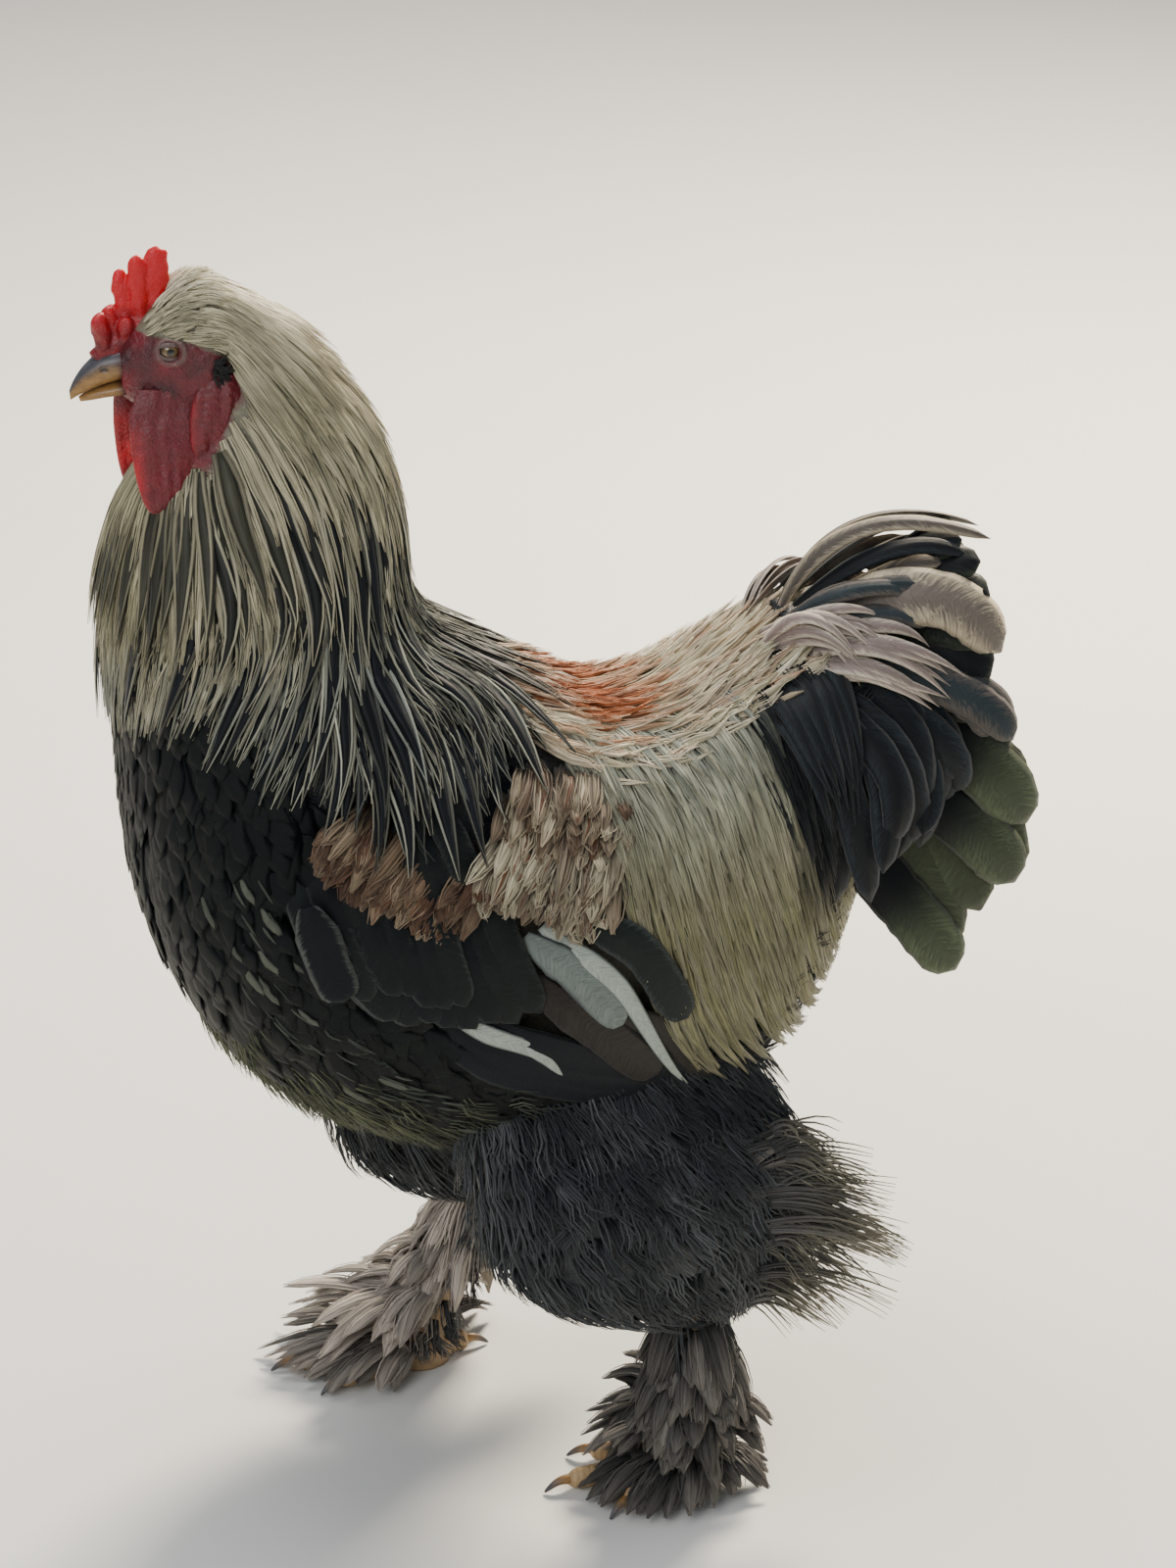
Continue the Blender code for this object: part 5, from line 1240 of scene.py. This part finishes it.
# the wing's long feathers as (station, angle) of root, middle and tip, then half width, from the lowest layer up
QUILLS = (
    ((9.6, 1.90), (10.9, 2.02), (12.2, 2.22), 0.0110, "dark"),
    ((9.6, 1.84), (11.0, 1.97), (12.4, 2.20), 0.0110, "dark"),
    ((9.7, 1.76), (11.1, 1.90), (12.45, 2.14), 0.0110, "dark"),
    ((9.6, 1.80), (10.5, 1.84), (11.0, 1.97), 0.0060, "white"),
    ((10.6, 1.62), (11.8, 1.84), (12.6, 2.24), 0.0085, "brown"),
    ((10.1, 1.55), (11.1, 1.76), (11.95, 2.06), 0.0120, "brown"),
    ((9.8, 1.40), (10.5, 1.50), (11.3, 1.74), 0.0100, "pale"),
    ((9.9, 1.34), (11.1, 1.58), (12.36, 2.20), 0.0070, "white"),
    ((10.1, 1.26), (11.1, 1.42), (12.0, 1.80), 0.0110, "green"),
)
QUILL_COLOURS = {
    "dark": (BLUE_BLACK, GREEN_BLACK),
    "brown": (QUILL_BROWN, QUILL_BROWN * 1.2),
    "white": (mixed(WHITE, PALE_GREY, 0.6), PALE_GREY * 0.7),
    "pale": (PALE_GREY * 0.6, mixed(PALE_GREY, SLATE, 0.6) * 0.8),
    "green": (GREEN_BLACK, mixed(GREEN_BLACK, PALE_GREY, 0.12)),
}
# (station, angle) of the lower and the upper feather's root, then tip; count, half width, height of the tier
COVERT_TIERS = (
    ((7.30, 1.86), (7.95, 1.20), (8.40, 1.93), (8.9, 1.35), 8, 0.0090, 0.0015),
    ((8.05, 1.90), (8.95, 1.28), (9.10, 1.90), (10.4, 1.70), 9, 0.0098, 0.0040),
    ((7.70, 1.93), (8.55, 1.42), (8.60, 1.95), (9.7, 1.72), 8, 0.0088, 0.0065),
)
FRONT_COVERT = ((7.75, 1.86), (8.2, 1.90), (8.72, 1.96))  # (station, angle) of root, middle and tip


def build_wing(side, material):
    """The folded wing: secondaries, then rows of round coverts over them."""
    rng = np.random.default_rng(700 + side)
    coat = Coat()
    shape = {"section": BROAD, "camber": 0.12, "thickness": 0.0005, "rag": 0.05, "rng": rng}
    for number, (*path, half_width, paint) in enumerate(QUILLS):
        way = through(np.array(path), np.linspace(0, 2, 22))[None]
        lifts = np.interp(np.linspace(0, 1, 22), (0, 0.3, 1), (-0.006, 0.0, 0.001)) + 0.0007 * number
        spine, up = over_trunk(way, side, lifts)
        centre, edge = QUILL_COLOURS[paint]
        coat.add(spine, up, half_width, spear if paint == "white" else round_end, on_map(*way[0, 0])[None],
                 centre, edge, **shape)
    for low_root, high_root, low_tip, high_tip, count, half_width, over in COVERT_TIERS:
        share = np.linspace(0, 1, count)[:, None]
        root = np.array(low_root) * (1 - share) + np.array(high_root) * share
        tip = np.array(low_tip) * (1 - share) + np.array(high_tip) * share
        t = np.linspace(0, 1, 16)
        way = root[:, None] + (tip - root)[:, None] * t[None, :, None] + rng.normal(0, 0.02, (count, 1, 2))
        lifts = np.interp(t, (0, 0.5, 1), (-0.010, -0.001, 0.0)) + over + rng.uniform(0, 0.001, (count, 1))
        spine, up = over_trunk(way, side, lifts)
        centre = mixed(BLUE_BLACK, GREEN_BLACK, rng.uniform(0, 1, count)) * 0.8
        edge = mixed(centre, mixed(SLATE, BREAST_LACE, 0.5), rng.uniform(0.1, 0.5, count))
        coat.add(spine, up, half_width, round_end, on_map(root[:, 0], root[:, 1] * side), centre[:, None],
                 edge[:, None], **shape)
    spine, up = over_trunk(through(FRONT_COVERT, np.linspace(0, 2, 18))[None], side, 0.0095)
    station, angle = FRONT_COVERT[0]
    coat.add(spine, up, 0.0120, round_end, on_map(station, angle * side)[None], BLUE_BLACK * 0.8,
             mixed(BLUE_BLACK, SILVER, 0.16), **shape)
    coat.piece("wing_feathers_" + SIDE_NAMES[side], material, "wing_feather")


# ---------------------------------------------------------------- tail

# tip x, tip z, |tip y|, root x, root z, |root y|, half width, tilt of the vane from upright, in degrees
TAIL_FEATHERS = np.array([
    (0.214, 0.522, 0.013, 0.142, 0.470, 0.005, 0.0100, 50),
    (0.224, 0.498, 0.030, 0.146, 0.470, 0.009, 0.0130, 42),
    (0.218, 0.462, 0.042, 0.150, 0.464, 0.013, 0.0160, 28),
    (0.214, 0.424, 0.048, 0.152, 0.456, 0.016, 0.0170, 18),
    (0.237, 0.376, 0.051, 0.150, 0.449, 0.018, 0.0200, 10),
    (0.229, 0.318, 0.055, 0.146, 0.442, 0.019, 0.0200, 6),
    (0.193, 0.284, 0.056, 0.142, 0.438, 0.019, 0.0200, 2),
])
MAIN_FEATHERS = 11  # on each side
TAIL_PAINTS = {
    "sickle": (TAIL_BROWN * 0.6, mixed(TAIL_BROWN, TAIL_TAN, 0.6)),
    "brown": (TAIL_BROWN, TAIL_TAN),
    # the leaf feathers' edges: their pale pink, with ivory mixed in as a painted highlight
    "leaf": (mixed(TAIL_BROWN, TAIL_PINK, 0.6), mixed(TAIL_PINK, IVORY, 0.45)),
    "black": (TAIL_BLACK * 0.7, mixed(TAIL_BLACK, SLATE, 0.3)),
    "grey": (mixed(TAIL_BLACK, TAIL_BLUE, 0.4), mixed(TAIL_BROWN, TAIL_BLACK, 0.4)),
    "olive": (TAIL_OLIVE * 0.5, TAIL_OLIVE * 0.8),
}
# paint, count, half width, tilt, how far single feathers stray, and rows of root, middle and tip (x, |y|, z)
# between which the feathers lie: first the drooping coverts, then those that stand out one by one
TAIL_SPRAYS = (
    ("olive", 1, 0.0175, 10, 0.0, ((.138, .020, .425, .197, .046, .407, .234, .052, .362),)),
    ("olive", 1, 0.0165, 10, 0.0, ((.130, .022, .400, .191, .050, .372, .227, .056, .329),)),
    ("olive", 1, 0.0160, 6, 0.0, ((.122, .024, .375, .161, .052, .327, .193, .060, .282),)),
    ("grey", 4, 0.0110, 22, 0.003, ((.120, .020, .465, .180, .044, .458, .216, .050, .430),
                                    (.120, .020, .455, .190, .050, .441, .220, .054, .408))),
    ("black", 28, 0.0105, 14, 0.004, ((.086, .022, .452, .112, .070, .420, .120, .082, .338),
                                      (.090, .022, .456, .140, .064, .425, .142, .074, .366),
                                      (.095, .020, .458, .158, .056, .428, .165, .068, .366),
                                      (.100, .018, .458, .172, .050, .436, .186, .058, .392))),
    ("brown", 1, 0.0165, 34, 0.0, ((.105, .014, .462, .173, .034, .495, .222, .036, .458),)),
    ("leaf", 9, 0.0060, 34, 0.002, ((.095, .018, .462, .140, .044, .484, .178, .050, .474),
                                    (.095, .022, .458, .140, .050, .474, .192, .056, .446),
                                    (.095, .024, .454, .130, .056, .462, .168, .062, .438))),
    ("grey", 4, 0.0050, 40, 0.003, ((.095, .010, .470, .140, .026, .500, .185, .032, .492),
                                    (.096, .016, .466, .146, .038, .492, .180, .044, .476))),
    ("leaf", 9, 0.0045, 40, 0.003, ((.092, .010, .470, .124, .034, .494, .156, .044, .484),
                                    (.090, .018, .462, .112, .044, .482, .136, .054, .462))),
    ("black", 1, 0.0055, 55, 0.0, ((.108, .004, .478, .161, .012, .513, .206, .018, .510),)),
    ("sickle", 1, 0.0058, 50, 0.0, ((.110, .008, .470, .158, .014, .500, .192, .020, .507),)),
    ("sickle", 1, 0.0056, 60, 0.0, ((.104, .002, .474, .148, .005, .524, .223, .010, .514),)),
)


def main_tail_colours(share):
    """Black above and in the middle, olive below."""
    low = smooth_step(0.5, 0.75, share)
    colour = mixed(TAIL_BLACK * 0.7, TAIL_OLIVE * 0.4, low)
    return colour, mixed(colour, TAIL_OLIVE, 0.25)


def arch(root, middle, tip, t):
    """A curve from root to tip that passes the middle halfway."""
    return root * (1 - t) * (1 - 2 * t) + middle * 4 * t * (1 - t) + tip * t * (2 * t - 1)


def build_tail(side, material):
    """The spread tail: a fan of main feathers, coverts that droop over it, and the curved sickles on top."""
    rng = np.random.default_rng(800 + side)
    coat = Coat()
    t = np.linspace(0, 1, 24)[None, :, None]
    shape = {"section": BROAD, "camber": 0.2, "thickness": 0.0006, "rag": 0.08, "rng": rng}
    last = len(TAIL_FEATHERS) - 1
    at = np.linspace(0, last, MAIN_FEATHERS)
    tip_x, tip_z, tip_y, root_x, root_z, root_y, half_width, tilt = np.moveaxis(through(TAIL_FEATHERS, at), -1, 0)
    root, tip = np.stack([root_x, -side * root_y, root_z], -1), np.stack([tip_x, -side * tip_y, tip_z], -1)
    tip = root + (tip - root) * rng.uniform(0.88, 0.98, (MAIN_FEATHERS, 1))
    path = arch(root[:, None], ((root + tip) / 2 + (0, 0, 0.010))[:, None], tip[:, None], t)
    up = np.stack([0 * tilt, -side * np.cos(np.radians(tilt)), np.sin(np.radians(tilt))], -1)[:, None]
    centre, edge = main_tail_colours(at / last)
    coat.add(path, up, half_width, round_end, on_map(at, 0.3 * side), centre[:, None], edge[:, None], **shape)
    for number, (paint, count, half_width, tilt, stray, rows) in enumerate(TAIL_SPRAYS):
        at = rng.uniform(0, len(rows) - 1, count)
        places = through(rows * 2 if len(rows) == 1 else rows, at).reshape(count, 3, 3) * (1, -side, 1)
        places = places + rng.normal(0, 1, (count, 3, 3)) * stray * np.array((0.5, 1, 1.6))[:, None]
        tilt = math.radians(tilt)
        up = np.array((0, -side * math.cos(tilt), math.sin(tilt))) + rng.normal(0, 40 * stray, (count, 1, 3))
        path = arch(*(places[:, n, None] for n in range(3)), t)
        shade = rng.normal(1, 0.12, (count, 1, 1)).clip(0.7, 1.3)
        # painted shade: the olive feathers are near black over their root half, under the coverts, and olive
        # towards their tips
        painted_root_shade = 1 - 0.85 * smooth_step(0.45, 0.8, t[..., 0]) if paint == "olive" else 0 * t[..., 0]
        centre, edge = (mixed(colour * shade, TAIL_BLACK * 0.6, painted_root_shade) for colour in TAIL_PAINTS[paint])
        coat.add(path, up, half_width, spear if paint == "leaf" else round_end,
                 on_map(np.full(count, number), 0.5 * side), centre, edge, **shape)
    # the black coverts that come out from under the saddle
    count = 18
    share =(np.arange(count) + 0.5) / count + rng.normal(0, 0.04, count)
    drop = rng.uniform(-0.22, 0.06, count)
    places = np.stack([np.stack([12.3 + 1.6 * share, 0.34 + 1.6 * (drop + 0.22)], -1),
                       np.stack([12.75 + 1.5 * share, 0.92 + 0.5 * drop], -1),
                       np.stack([13.45 + 1.0 * share, 1.44 + drop], -1)], 1)
    way = arch(*(places[:, n, None] for n in range(3)), t)
    lifts = np.interp(t[..., 0], (0, 0.45, 1), (-0.016, 0.0005, 0.0165)) + rng.normal(0, 0.0008, (count, 1))
    spine, up = over_trunk(way, side, lifts)
    coat.add(spine, up, rng.uniform(0.0050, 0.0085, count), spear, on_map(way[:, 0, 0], way[:, 0, 1] * side),
             TAIL_BLACK * 0.7, mixed(TAIL_BLACK, SLATE, 0.3), **shape)
    coat.piece("tail_feathers_" + SIDE_NAMES[side], material, "tail_feather")


# ---------------------------------------------------------------- legs

# root x, |root y|, root z, tip x, |tip y|, tip z: the stiff feathers behind the left hock
HOCK_FEATHERS = np.array([
    (0.070, 0.098, 0.205, 0.126, 0.096, 0.192),
    (0.074, 0.108, 0.190, 0.146, 0.106, 0.168),
    (0.072, 0.090, 0.184, 0.150, 0.082, 0.156),
    (0.072, 0.112, 0.170, 0.166, 0.110, 0.134),
    (0.070, 0.096, 0.160, 0.172, 0.092, 0.124),
    (0.064, 0.106, 0.148, 0.158, 0.104, 0.101),
    (0.062, 0.082, 0.146, 0.146, 0.076, 0.098),
    (0.056, 0.100, 0.132, 0.122, 0.102, 0.088),
])


def build_thigh(side, material):
    """The thigh's dense down, and the stiff feathers that stand off behind the hock."""
    rng = np.random.default_rng(900 + side)
    surface = limb(THIGHS, side)
    coat = Coat()
    station, angle = scatter(surface, (0.2, 6.9), (-3.14, 3.14), 0.0143, rng)
    count = len(station)
    length = rng.uniform(0.024, 0.042, count) * np.interp(station, (0, 5, 7), (1, 1, 0.6))
    lifts = ruffled(-0.009, 0.002, 0.7, count, rng)
    turn = np.sign(angle) * 0.15 * (1 - hump(np.abs(angle), 0.0, 0.5)) + rng.normal(0, 0.08, count)
    spine, up = lie(surface, station, angle, length, turn, lifts, TUFT_ROWS, rng, 0.05)
    barb = mixed(DOWN_DARK, DOWN_GREY, rng.uniform(0, 0.9, count) + 0.3 * ripple(spine[:, 0], 0.06, 61))[:, None]
    barb = mixed(barb, barb * 1.5, np.linspace(0, 1, TUFT_ROWS))
    place = np.stack([0.05 + 0.85 * (angle / 6.3 + 0.5), 0.05 + 0.85 * station / 7], -1)
    tufts(coat, spine, up, 0.0074, place, barb, rng, strands=6, wave=0.0018)
    coat.piece("thigh_down_" + SIDE_NAMES[side], material, "fluff_feather")
    coat = Coat()
    count = 130
    at = rng.uniform(-0.4, 7.4, count)
    x, y, z, tip_x, tip_y, tip_z = np.moveaxis(through(HOCK_FEATHERS, at), -1, 0)
    back = THIGHS[side][0, 2] - THIGHS[LEFT][0, 2]
    root = np.stack([x + back - 0.006, -side * y, z], -1) + rng.normal(0, 0.007, (count, 3))
    tip = np.stack([tip_x + back, -side * tip_y, tip_z], -1)
    tip = root + (tip - root) * rng.uniform(0.35, 0.92, (count, 1)) + rng.normal(0, 0.005, (count, 3))
    t = np.linspace(0, 1, 7)[None, :, None]
    path = root[:, None] + (tip - root)[:, None] * t + np.array((0, 0, 0.008)) * np.sin(math.pi * t)
    up = np.array((0.25, -side, 0.25)) + rng.normal(0, 0.4, (count, 1, 3))
    fade = t[..., 0] ** 2 * rng.uniform(0.3, 1.0, (count, 1))
    barb = mixed(DOWN_DARK, mixed(DOWN_GREY, TAIL_BROWN, 0.4), rng.uniform(0.2, 1, (count, 1)))
    barb = mixed(barb, CREAM_SHADE, 0.7 * fade)
    place = np.stack([0.05 + 0.9 * rng.uniform(0, 1, count), 0.1 + 0.1 * at], -1)
    tufts(coat, path, up, 0.0070, place, barb, rng, tone=0.2, wave=0.002)
    coat.piece("hock_feathers_" + SIDE_NAMES[side], material, "fluff_feather")


def toe_direction(turn, side):
    """Unit vector (x, y) of a toe that is turned outwards from ahead by that many degrees."""
    return np.array([-math.cos(math.radians(turn)), -side * math.sin(math.radians(turn))])


def toe_rings(start, direction, length, side):
    """A toe along the floor: round above, flat below, with scutes across its back, and their colours."""
    t, around = np.linspace(0, 1, 60)[:, None], turn_round(28)[None, :]
    across = np.array([-direction[1], direction[0]])
    swell = 1 + 0.10 * np.cos(t * 4 * math.pi)
    width = (TOE_HALF_WIDTH - TOE_TAPER * t) * swell * np.sqrt(np.clip(1 - np.abs(2 * t - 1) ** 8, 0.02, 1))
    ridge = np.abs(np.sin(t * length / SCUTE_LENGTH * math.pi))
    x = start[0] + direction[0] * length * t + across[0] * width * np.sin(around)
    y = -side * start[1] + direction[1] * length * t + across[1] * width * np.sin(around)
    scute = SCUTE_HEIGHT * ridge * np.clip(np.cos(around), 0, 1)
    z = np.maximum(SOLE_GAP, TOE_HEIGHT * (1 - 0.25 * t) + (width * 1.2 + scute) * np.cos(around))
    tint = mixed(TOE_SKIN, TOE_DARK, 0.8 * (1 - ridge**0.5) + 0 * around)
    return np.stack(np.broadcast_arrays(x, y, z), -1), tint


def build_leg(side, scales, feathers):
    """Shank and toes in their scales, with the feathers that stand out from both."""
    rng = np.random.default_rng(1000 + side)
    around = turn_round(40)[None, :]
    station = np.linspace(0, 3.99, 70)[:, None]
    scutes = 0.0007 * np.abs(np.sin(station * 12)) * (0.5 + 0.5 * np.cos(around))
    shell = Shell()
    shell.add(sliced(SHANKS[side], side, station, around, scutes), mixed(TOE_SKIN, TOE_DARK, 0.5))
    shell.piece("shank_scales_" + SIDE_NAMES[side], scales, "leg_scale", ["shank_" + SIDE_NAMES[side]])
    start = FEET[side]
    shell = Shell()
    for turn, length in TOES:
        shell.add(*toe_rings(start, toe_direction(turn, side), length, side))
    t = np.linspace(0.02, 1, 14)[:, None]
    radius = PAD_RADIUS * np.sqrt(1 - (1 - t) ** 2 * 0.9)
    x, y = start[0] + radius * 1.15 * np.cos(around), -side * start[1] + radius * np.sin(around)
    pad = np.stack(np.broadcast_arrays(x, y, PAD_HEIGHT * (1 - t) + SOLE_GAP), -1)
    shell.add(pad, mixed(TOE_SKIN, TOE_DARK, 0.4))
    shell.piece("toe_scales_" + SIDE_NAMES[side], scales, "leg_scale", ["foot_" + SIDE_NAMES[side]])
    build_leg_feathers(side, feathers, rng)


# count, lowest and highest root, height of the tips, bearings from ahead (0) to the outer side (90) and
# behind, and how far the tips reach at each
LEG_TIERS = (
    (60, 0.080, 0.114, 0.054, (15, 75, 135), (0.036, 0.042, 0.040)),
    (60, 0.050, 0.084, 0.042, (-50, 45, 105), (0.032, 0.052, 0.048)),
    (60, 0.022, 0.050, 0.034, (-10, 26, 62, 98, 145), (0.072, 0.084, 0.070, 0.054, 0.054)),
    (60, 0.008, 0.014, 0.007, (-46, 19, 55, 92, 135), (0.060, 0.092, 0.080, 0.062, 0.062)),
)


def build_leg_feathers(side, material, rng):
    """The feathers of shank and foot: they hang outwards from the shank, and fan out over the toes."""
    coat = Coat()
    # painted shade and light: the near, left leg's feathers get no pale share and stay dark, the far one's are
    # made pale; scale is how far they reach
    scale, pale = (0.80, 0.0) if side == LEFT else (1.0, 0.85)
    rows, surface = SHANKS[side], limb(SHANKS, side)
    for count, lowest, highest, tip_z, bearings, reaches in LEG_TIERS:
        degrees = rng.uniform(-60, 150, count)
        bearing = np.radians(degrees)
        out = np.stack([-np.cos(bearing), -side * np.sin(bearing), 0 * bearing], -1)
        root_z = rng.uniform(lowest, highest, count)
        station = np.interp(-root_z, -rows[:, 0], np.arange(len(rows)))
        _, front, rear, middle, _ = np.moveaxis(through(rows, station), -1, 0)
        root = np.stack([(front + rear) / 2, -side * middle, root_z], -1) + out * 0.005
        reach = np.interp(degrees, bearings, reaches) * scale * rng.uniform(0.6, 1.0, count)
        tip = root + out * reach[:, None]
        tip[:, 2] = tip_z + rng.normal(0, 0.25, count) * tip_z
        t = np.linspace(0, 1, 8)[None, :, None]
        path = root[:, None] + (tip - root)[:, None] * t
        path = path + (out * 0.002 + (0, 0, 0.010))[:, None] * np.sin(math.pi * t)
        path[..., 2] = np.maximum(path[..., 2], 0.003)
        flat = 0.2 if highest < 0.02 else 1.0
        up = (out * flat + (0, 0, 0.7))[:, None] + rng.normal(0, 0.15, (count, 1, 3))
        light = np.clip(pale * (0.4 if highest < 0.02 else 1.0) + rng.normal(0, 0.10 + 0.1 * pale, count), 0, 1)
        barb = mixed(mixed(DOWN_DARK, FOOT_GREY, rng.uniform(0, 1, count)), FOOT_PALE, light)[:, None]
        barb = mixed(barb * 0.8, FOOT_PALE, 0.16 * t[..., 0] ** 3)
        place = np.stack([0.5 + bearing / 7, 0.1 + 6 * root_z], -1)
        lock(coat, path, up, 0.0072, place, barb, barb, rng, strands=4, outline=leaf, tone=0.2, blade=leaf,
             wave=0.0015)
    station, angle = scatter(surface, (0.0, 3.7), (-3.14, 3.14), 0.0098, rng)
    count = len(station)
    length = rng.uniform(0.020, 0.034, count) * np.interp(station, (0, 3, 3.7), (1, 0.8, 0.4))
    lifts = ruffled(0.0, 0.013, 0.8, count, rng)
    turn = rng.normal(0, 0.2, count)
    spine, up = lie(surface, station, angle, length, turn, lifts, TUFT_ROWS, rng, 0.05)
    # the far leg's painted light, strongest at the front of the shank
    light = np.clip(pale * (1 - smooth_step(0.6, 1.6, np.abs(angle))) + rng.normal(0, 0.15, count), 0, 1)
    barb = mixed(mixed(DOWN_DARK, DOWN_GREY, rng.uniform(0, 1, count)), FOOT_PALE, light)[:, None]
    place = np.stack([0.5 + angle / 7, 0.05 + 0.2 * station], -1)
    tufts(coat, spine, up, 0.0056, place, barb, rng, tone=0.2)
    coat.piece("leg_feathers_" + SIDE_NAMES[side], material, "fluff_feather")


def build_claws(side, material):
    """Claws: tubes that taper to a blunt point, along half a wave over a falling line."""
    start = FEET[side]
    for number, (turn, length) in enumerate(TOES):
        direction = toe_direction(turn, side)
        t =np.linspace(0, 1, 24)
        reach = length - 0.003 + (CLAW_LENGTH + 0.003) * t
        height = 0.0068 + 0.0024 * np.sin(math.pi * t) - 0.0056 * t
        path = np.stack([start[0] + direction[0] * reach, -side * start[1] + direction[1] * reach, height], -1)
        radii = CLAW_RADIUS * (1 - t) ** 0.6 + 0.0004
        tint = mixed(HORN_PALE, HORN_DARK, smooth_step(0.1, 0.9, t))[:, None]
        shell = Shell()
        shell.add(tube(path, radii, np.array((0, 0, 1.0)), 16), np.broadcast_to(tint, (24, 16, 3)))
        name = f"{SIDE_NAMES[side]}_{number + 1}"
        shell.piece("claw_horn_" + name, material, "claw_horn", ["claw_" + name])


# ---------------------------------------------------------------- stage


def area_light(name, place, aim, size, power, colour):
    """A square soft light at a place, turned to a point."""
    light = bpy.data.lights.new(name, "AREA")
    light.size, light.energy, light.color = size, power, linear(colour)
    obj = bpy.data.objects.new(name, light)
    obj.location = place
    obj.rotation_euler = (Vector(aim) - Vector(place)).to_track_quat("-Z", "Y").to_euler()
    bpy.context.scene.collection.objects.link(obj)


def build_stage():
    """A wide pale floor, a soft sky and three large lights."""
    half = FLOOR_HALF
    mesh =bpy.data.meshes.new("floor")
    mesh.from_pydata([(-half, -half, 0), (half, -half, 0), (half, half, 0), (-half, half, 0)], [], [(0, 1, 2, 3)])
    mesh.materials.append(paper_floor())
    floor = bpy.data.objects.new("floor", mesh)
    bpy.context.scene.collection.objects.link(floor)
    world = bpy.data.worlds.new("soft_sky")
    world.use_nodes = True
    background = world.node_tree.nodes["Background"]
    background.inputs[0].default_value = (*linear(SKY_COLOUR), 1)
    background.inputs[1].default_value = SKY_STRENGTH
    bpy.context.scene.world = world
    for light in LIGHTS:
        area_light(*light)


def build_camera():
    """A long lens that looks down on the bird's left side."""
    turn, down = math.radians(VIEW_TURN), math.radians(VIEW_DOWN)
    looking = np.array((-math.sin(turn) * math.cos(down), math.cos(turn) * math.cos(down), -math.sin(down)))
    camera = bpy.data.cameras.new("camera")
    camera.sensor_fit, camera.sensor_height, camera.lens = "VERTICAL", SENSOR, LENS
    obj = bpy.data.objects.new("camera", camera)
    obj.location = VIEW_AIM + SHIFT - VIEW_DISTANCE * looking
    obj.rotation_euler = Vector(looking).to_track_quat("-Z", "Y").to_euler()
    bpy.context.scene.collection.objects.link(obj)
    bpy.context.scene.camera = obj


# ---------------------------------------------------------------- the bird

silk = loose_barbs("silky_barbs")
tiles = vaned("breast_vanes", stripe=0.80, soft=0.20, barb=1.2, slant=4.0, gloss=0.6, sheen=0.0)
quills = vaned("flight_vanes", stripe=0.82, soft=0.14, barb=1.4, slant=6.0, gloss=0.55, sheen=0.05, dark=0.5,
               light=1.25)
fan = vaned("tail_vanes", stripe=0.60, soft=0.35, barb=1.5, slant=8.0, gloss=0.5, sheen=0.1, dark=0.7, light=1.2)
face = living_skin("face_skin", spread=0.25, relief=0.0006)
folds = living_skin("wattle_skin", spread=0.20, relief=0.0006, wet=0.1, through_light=0.35)
scales = living_skin("leg_scales", spread=0.15, relief=0.0003)
build_skin(face)
build_beak(horn("beak_horn", gloss=0.38))
build_comb(comb_skin())
claw_horn = horn("claw_horn", gloss=0.45)
wet_eye = eye_gloss()
for side in (LEFT, RIGHT):
    build_eye(side, wet_eye)
    build_lids(side, face)
    build_wattles(side, folds)
    build_ear(side, silk)
    build_hackle(side, silk)
    build_cape(side, silk)
    build_saddle(side, silk)
    build_back(side, silk)
    build_shoulder(side, silk)
    build_breast(side, tiles)
    build_belly(side, silk)
    build_wing(side, quills)
    build_tail(side, fan)
    build_thigh(side, silk)
    build_leg(side, scales, silk)
    build_claws(side, claw_horn)
build_stage()
build_camera()
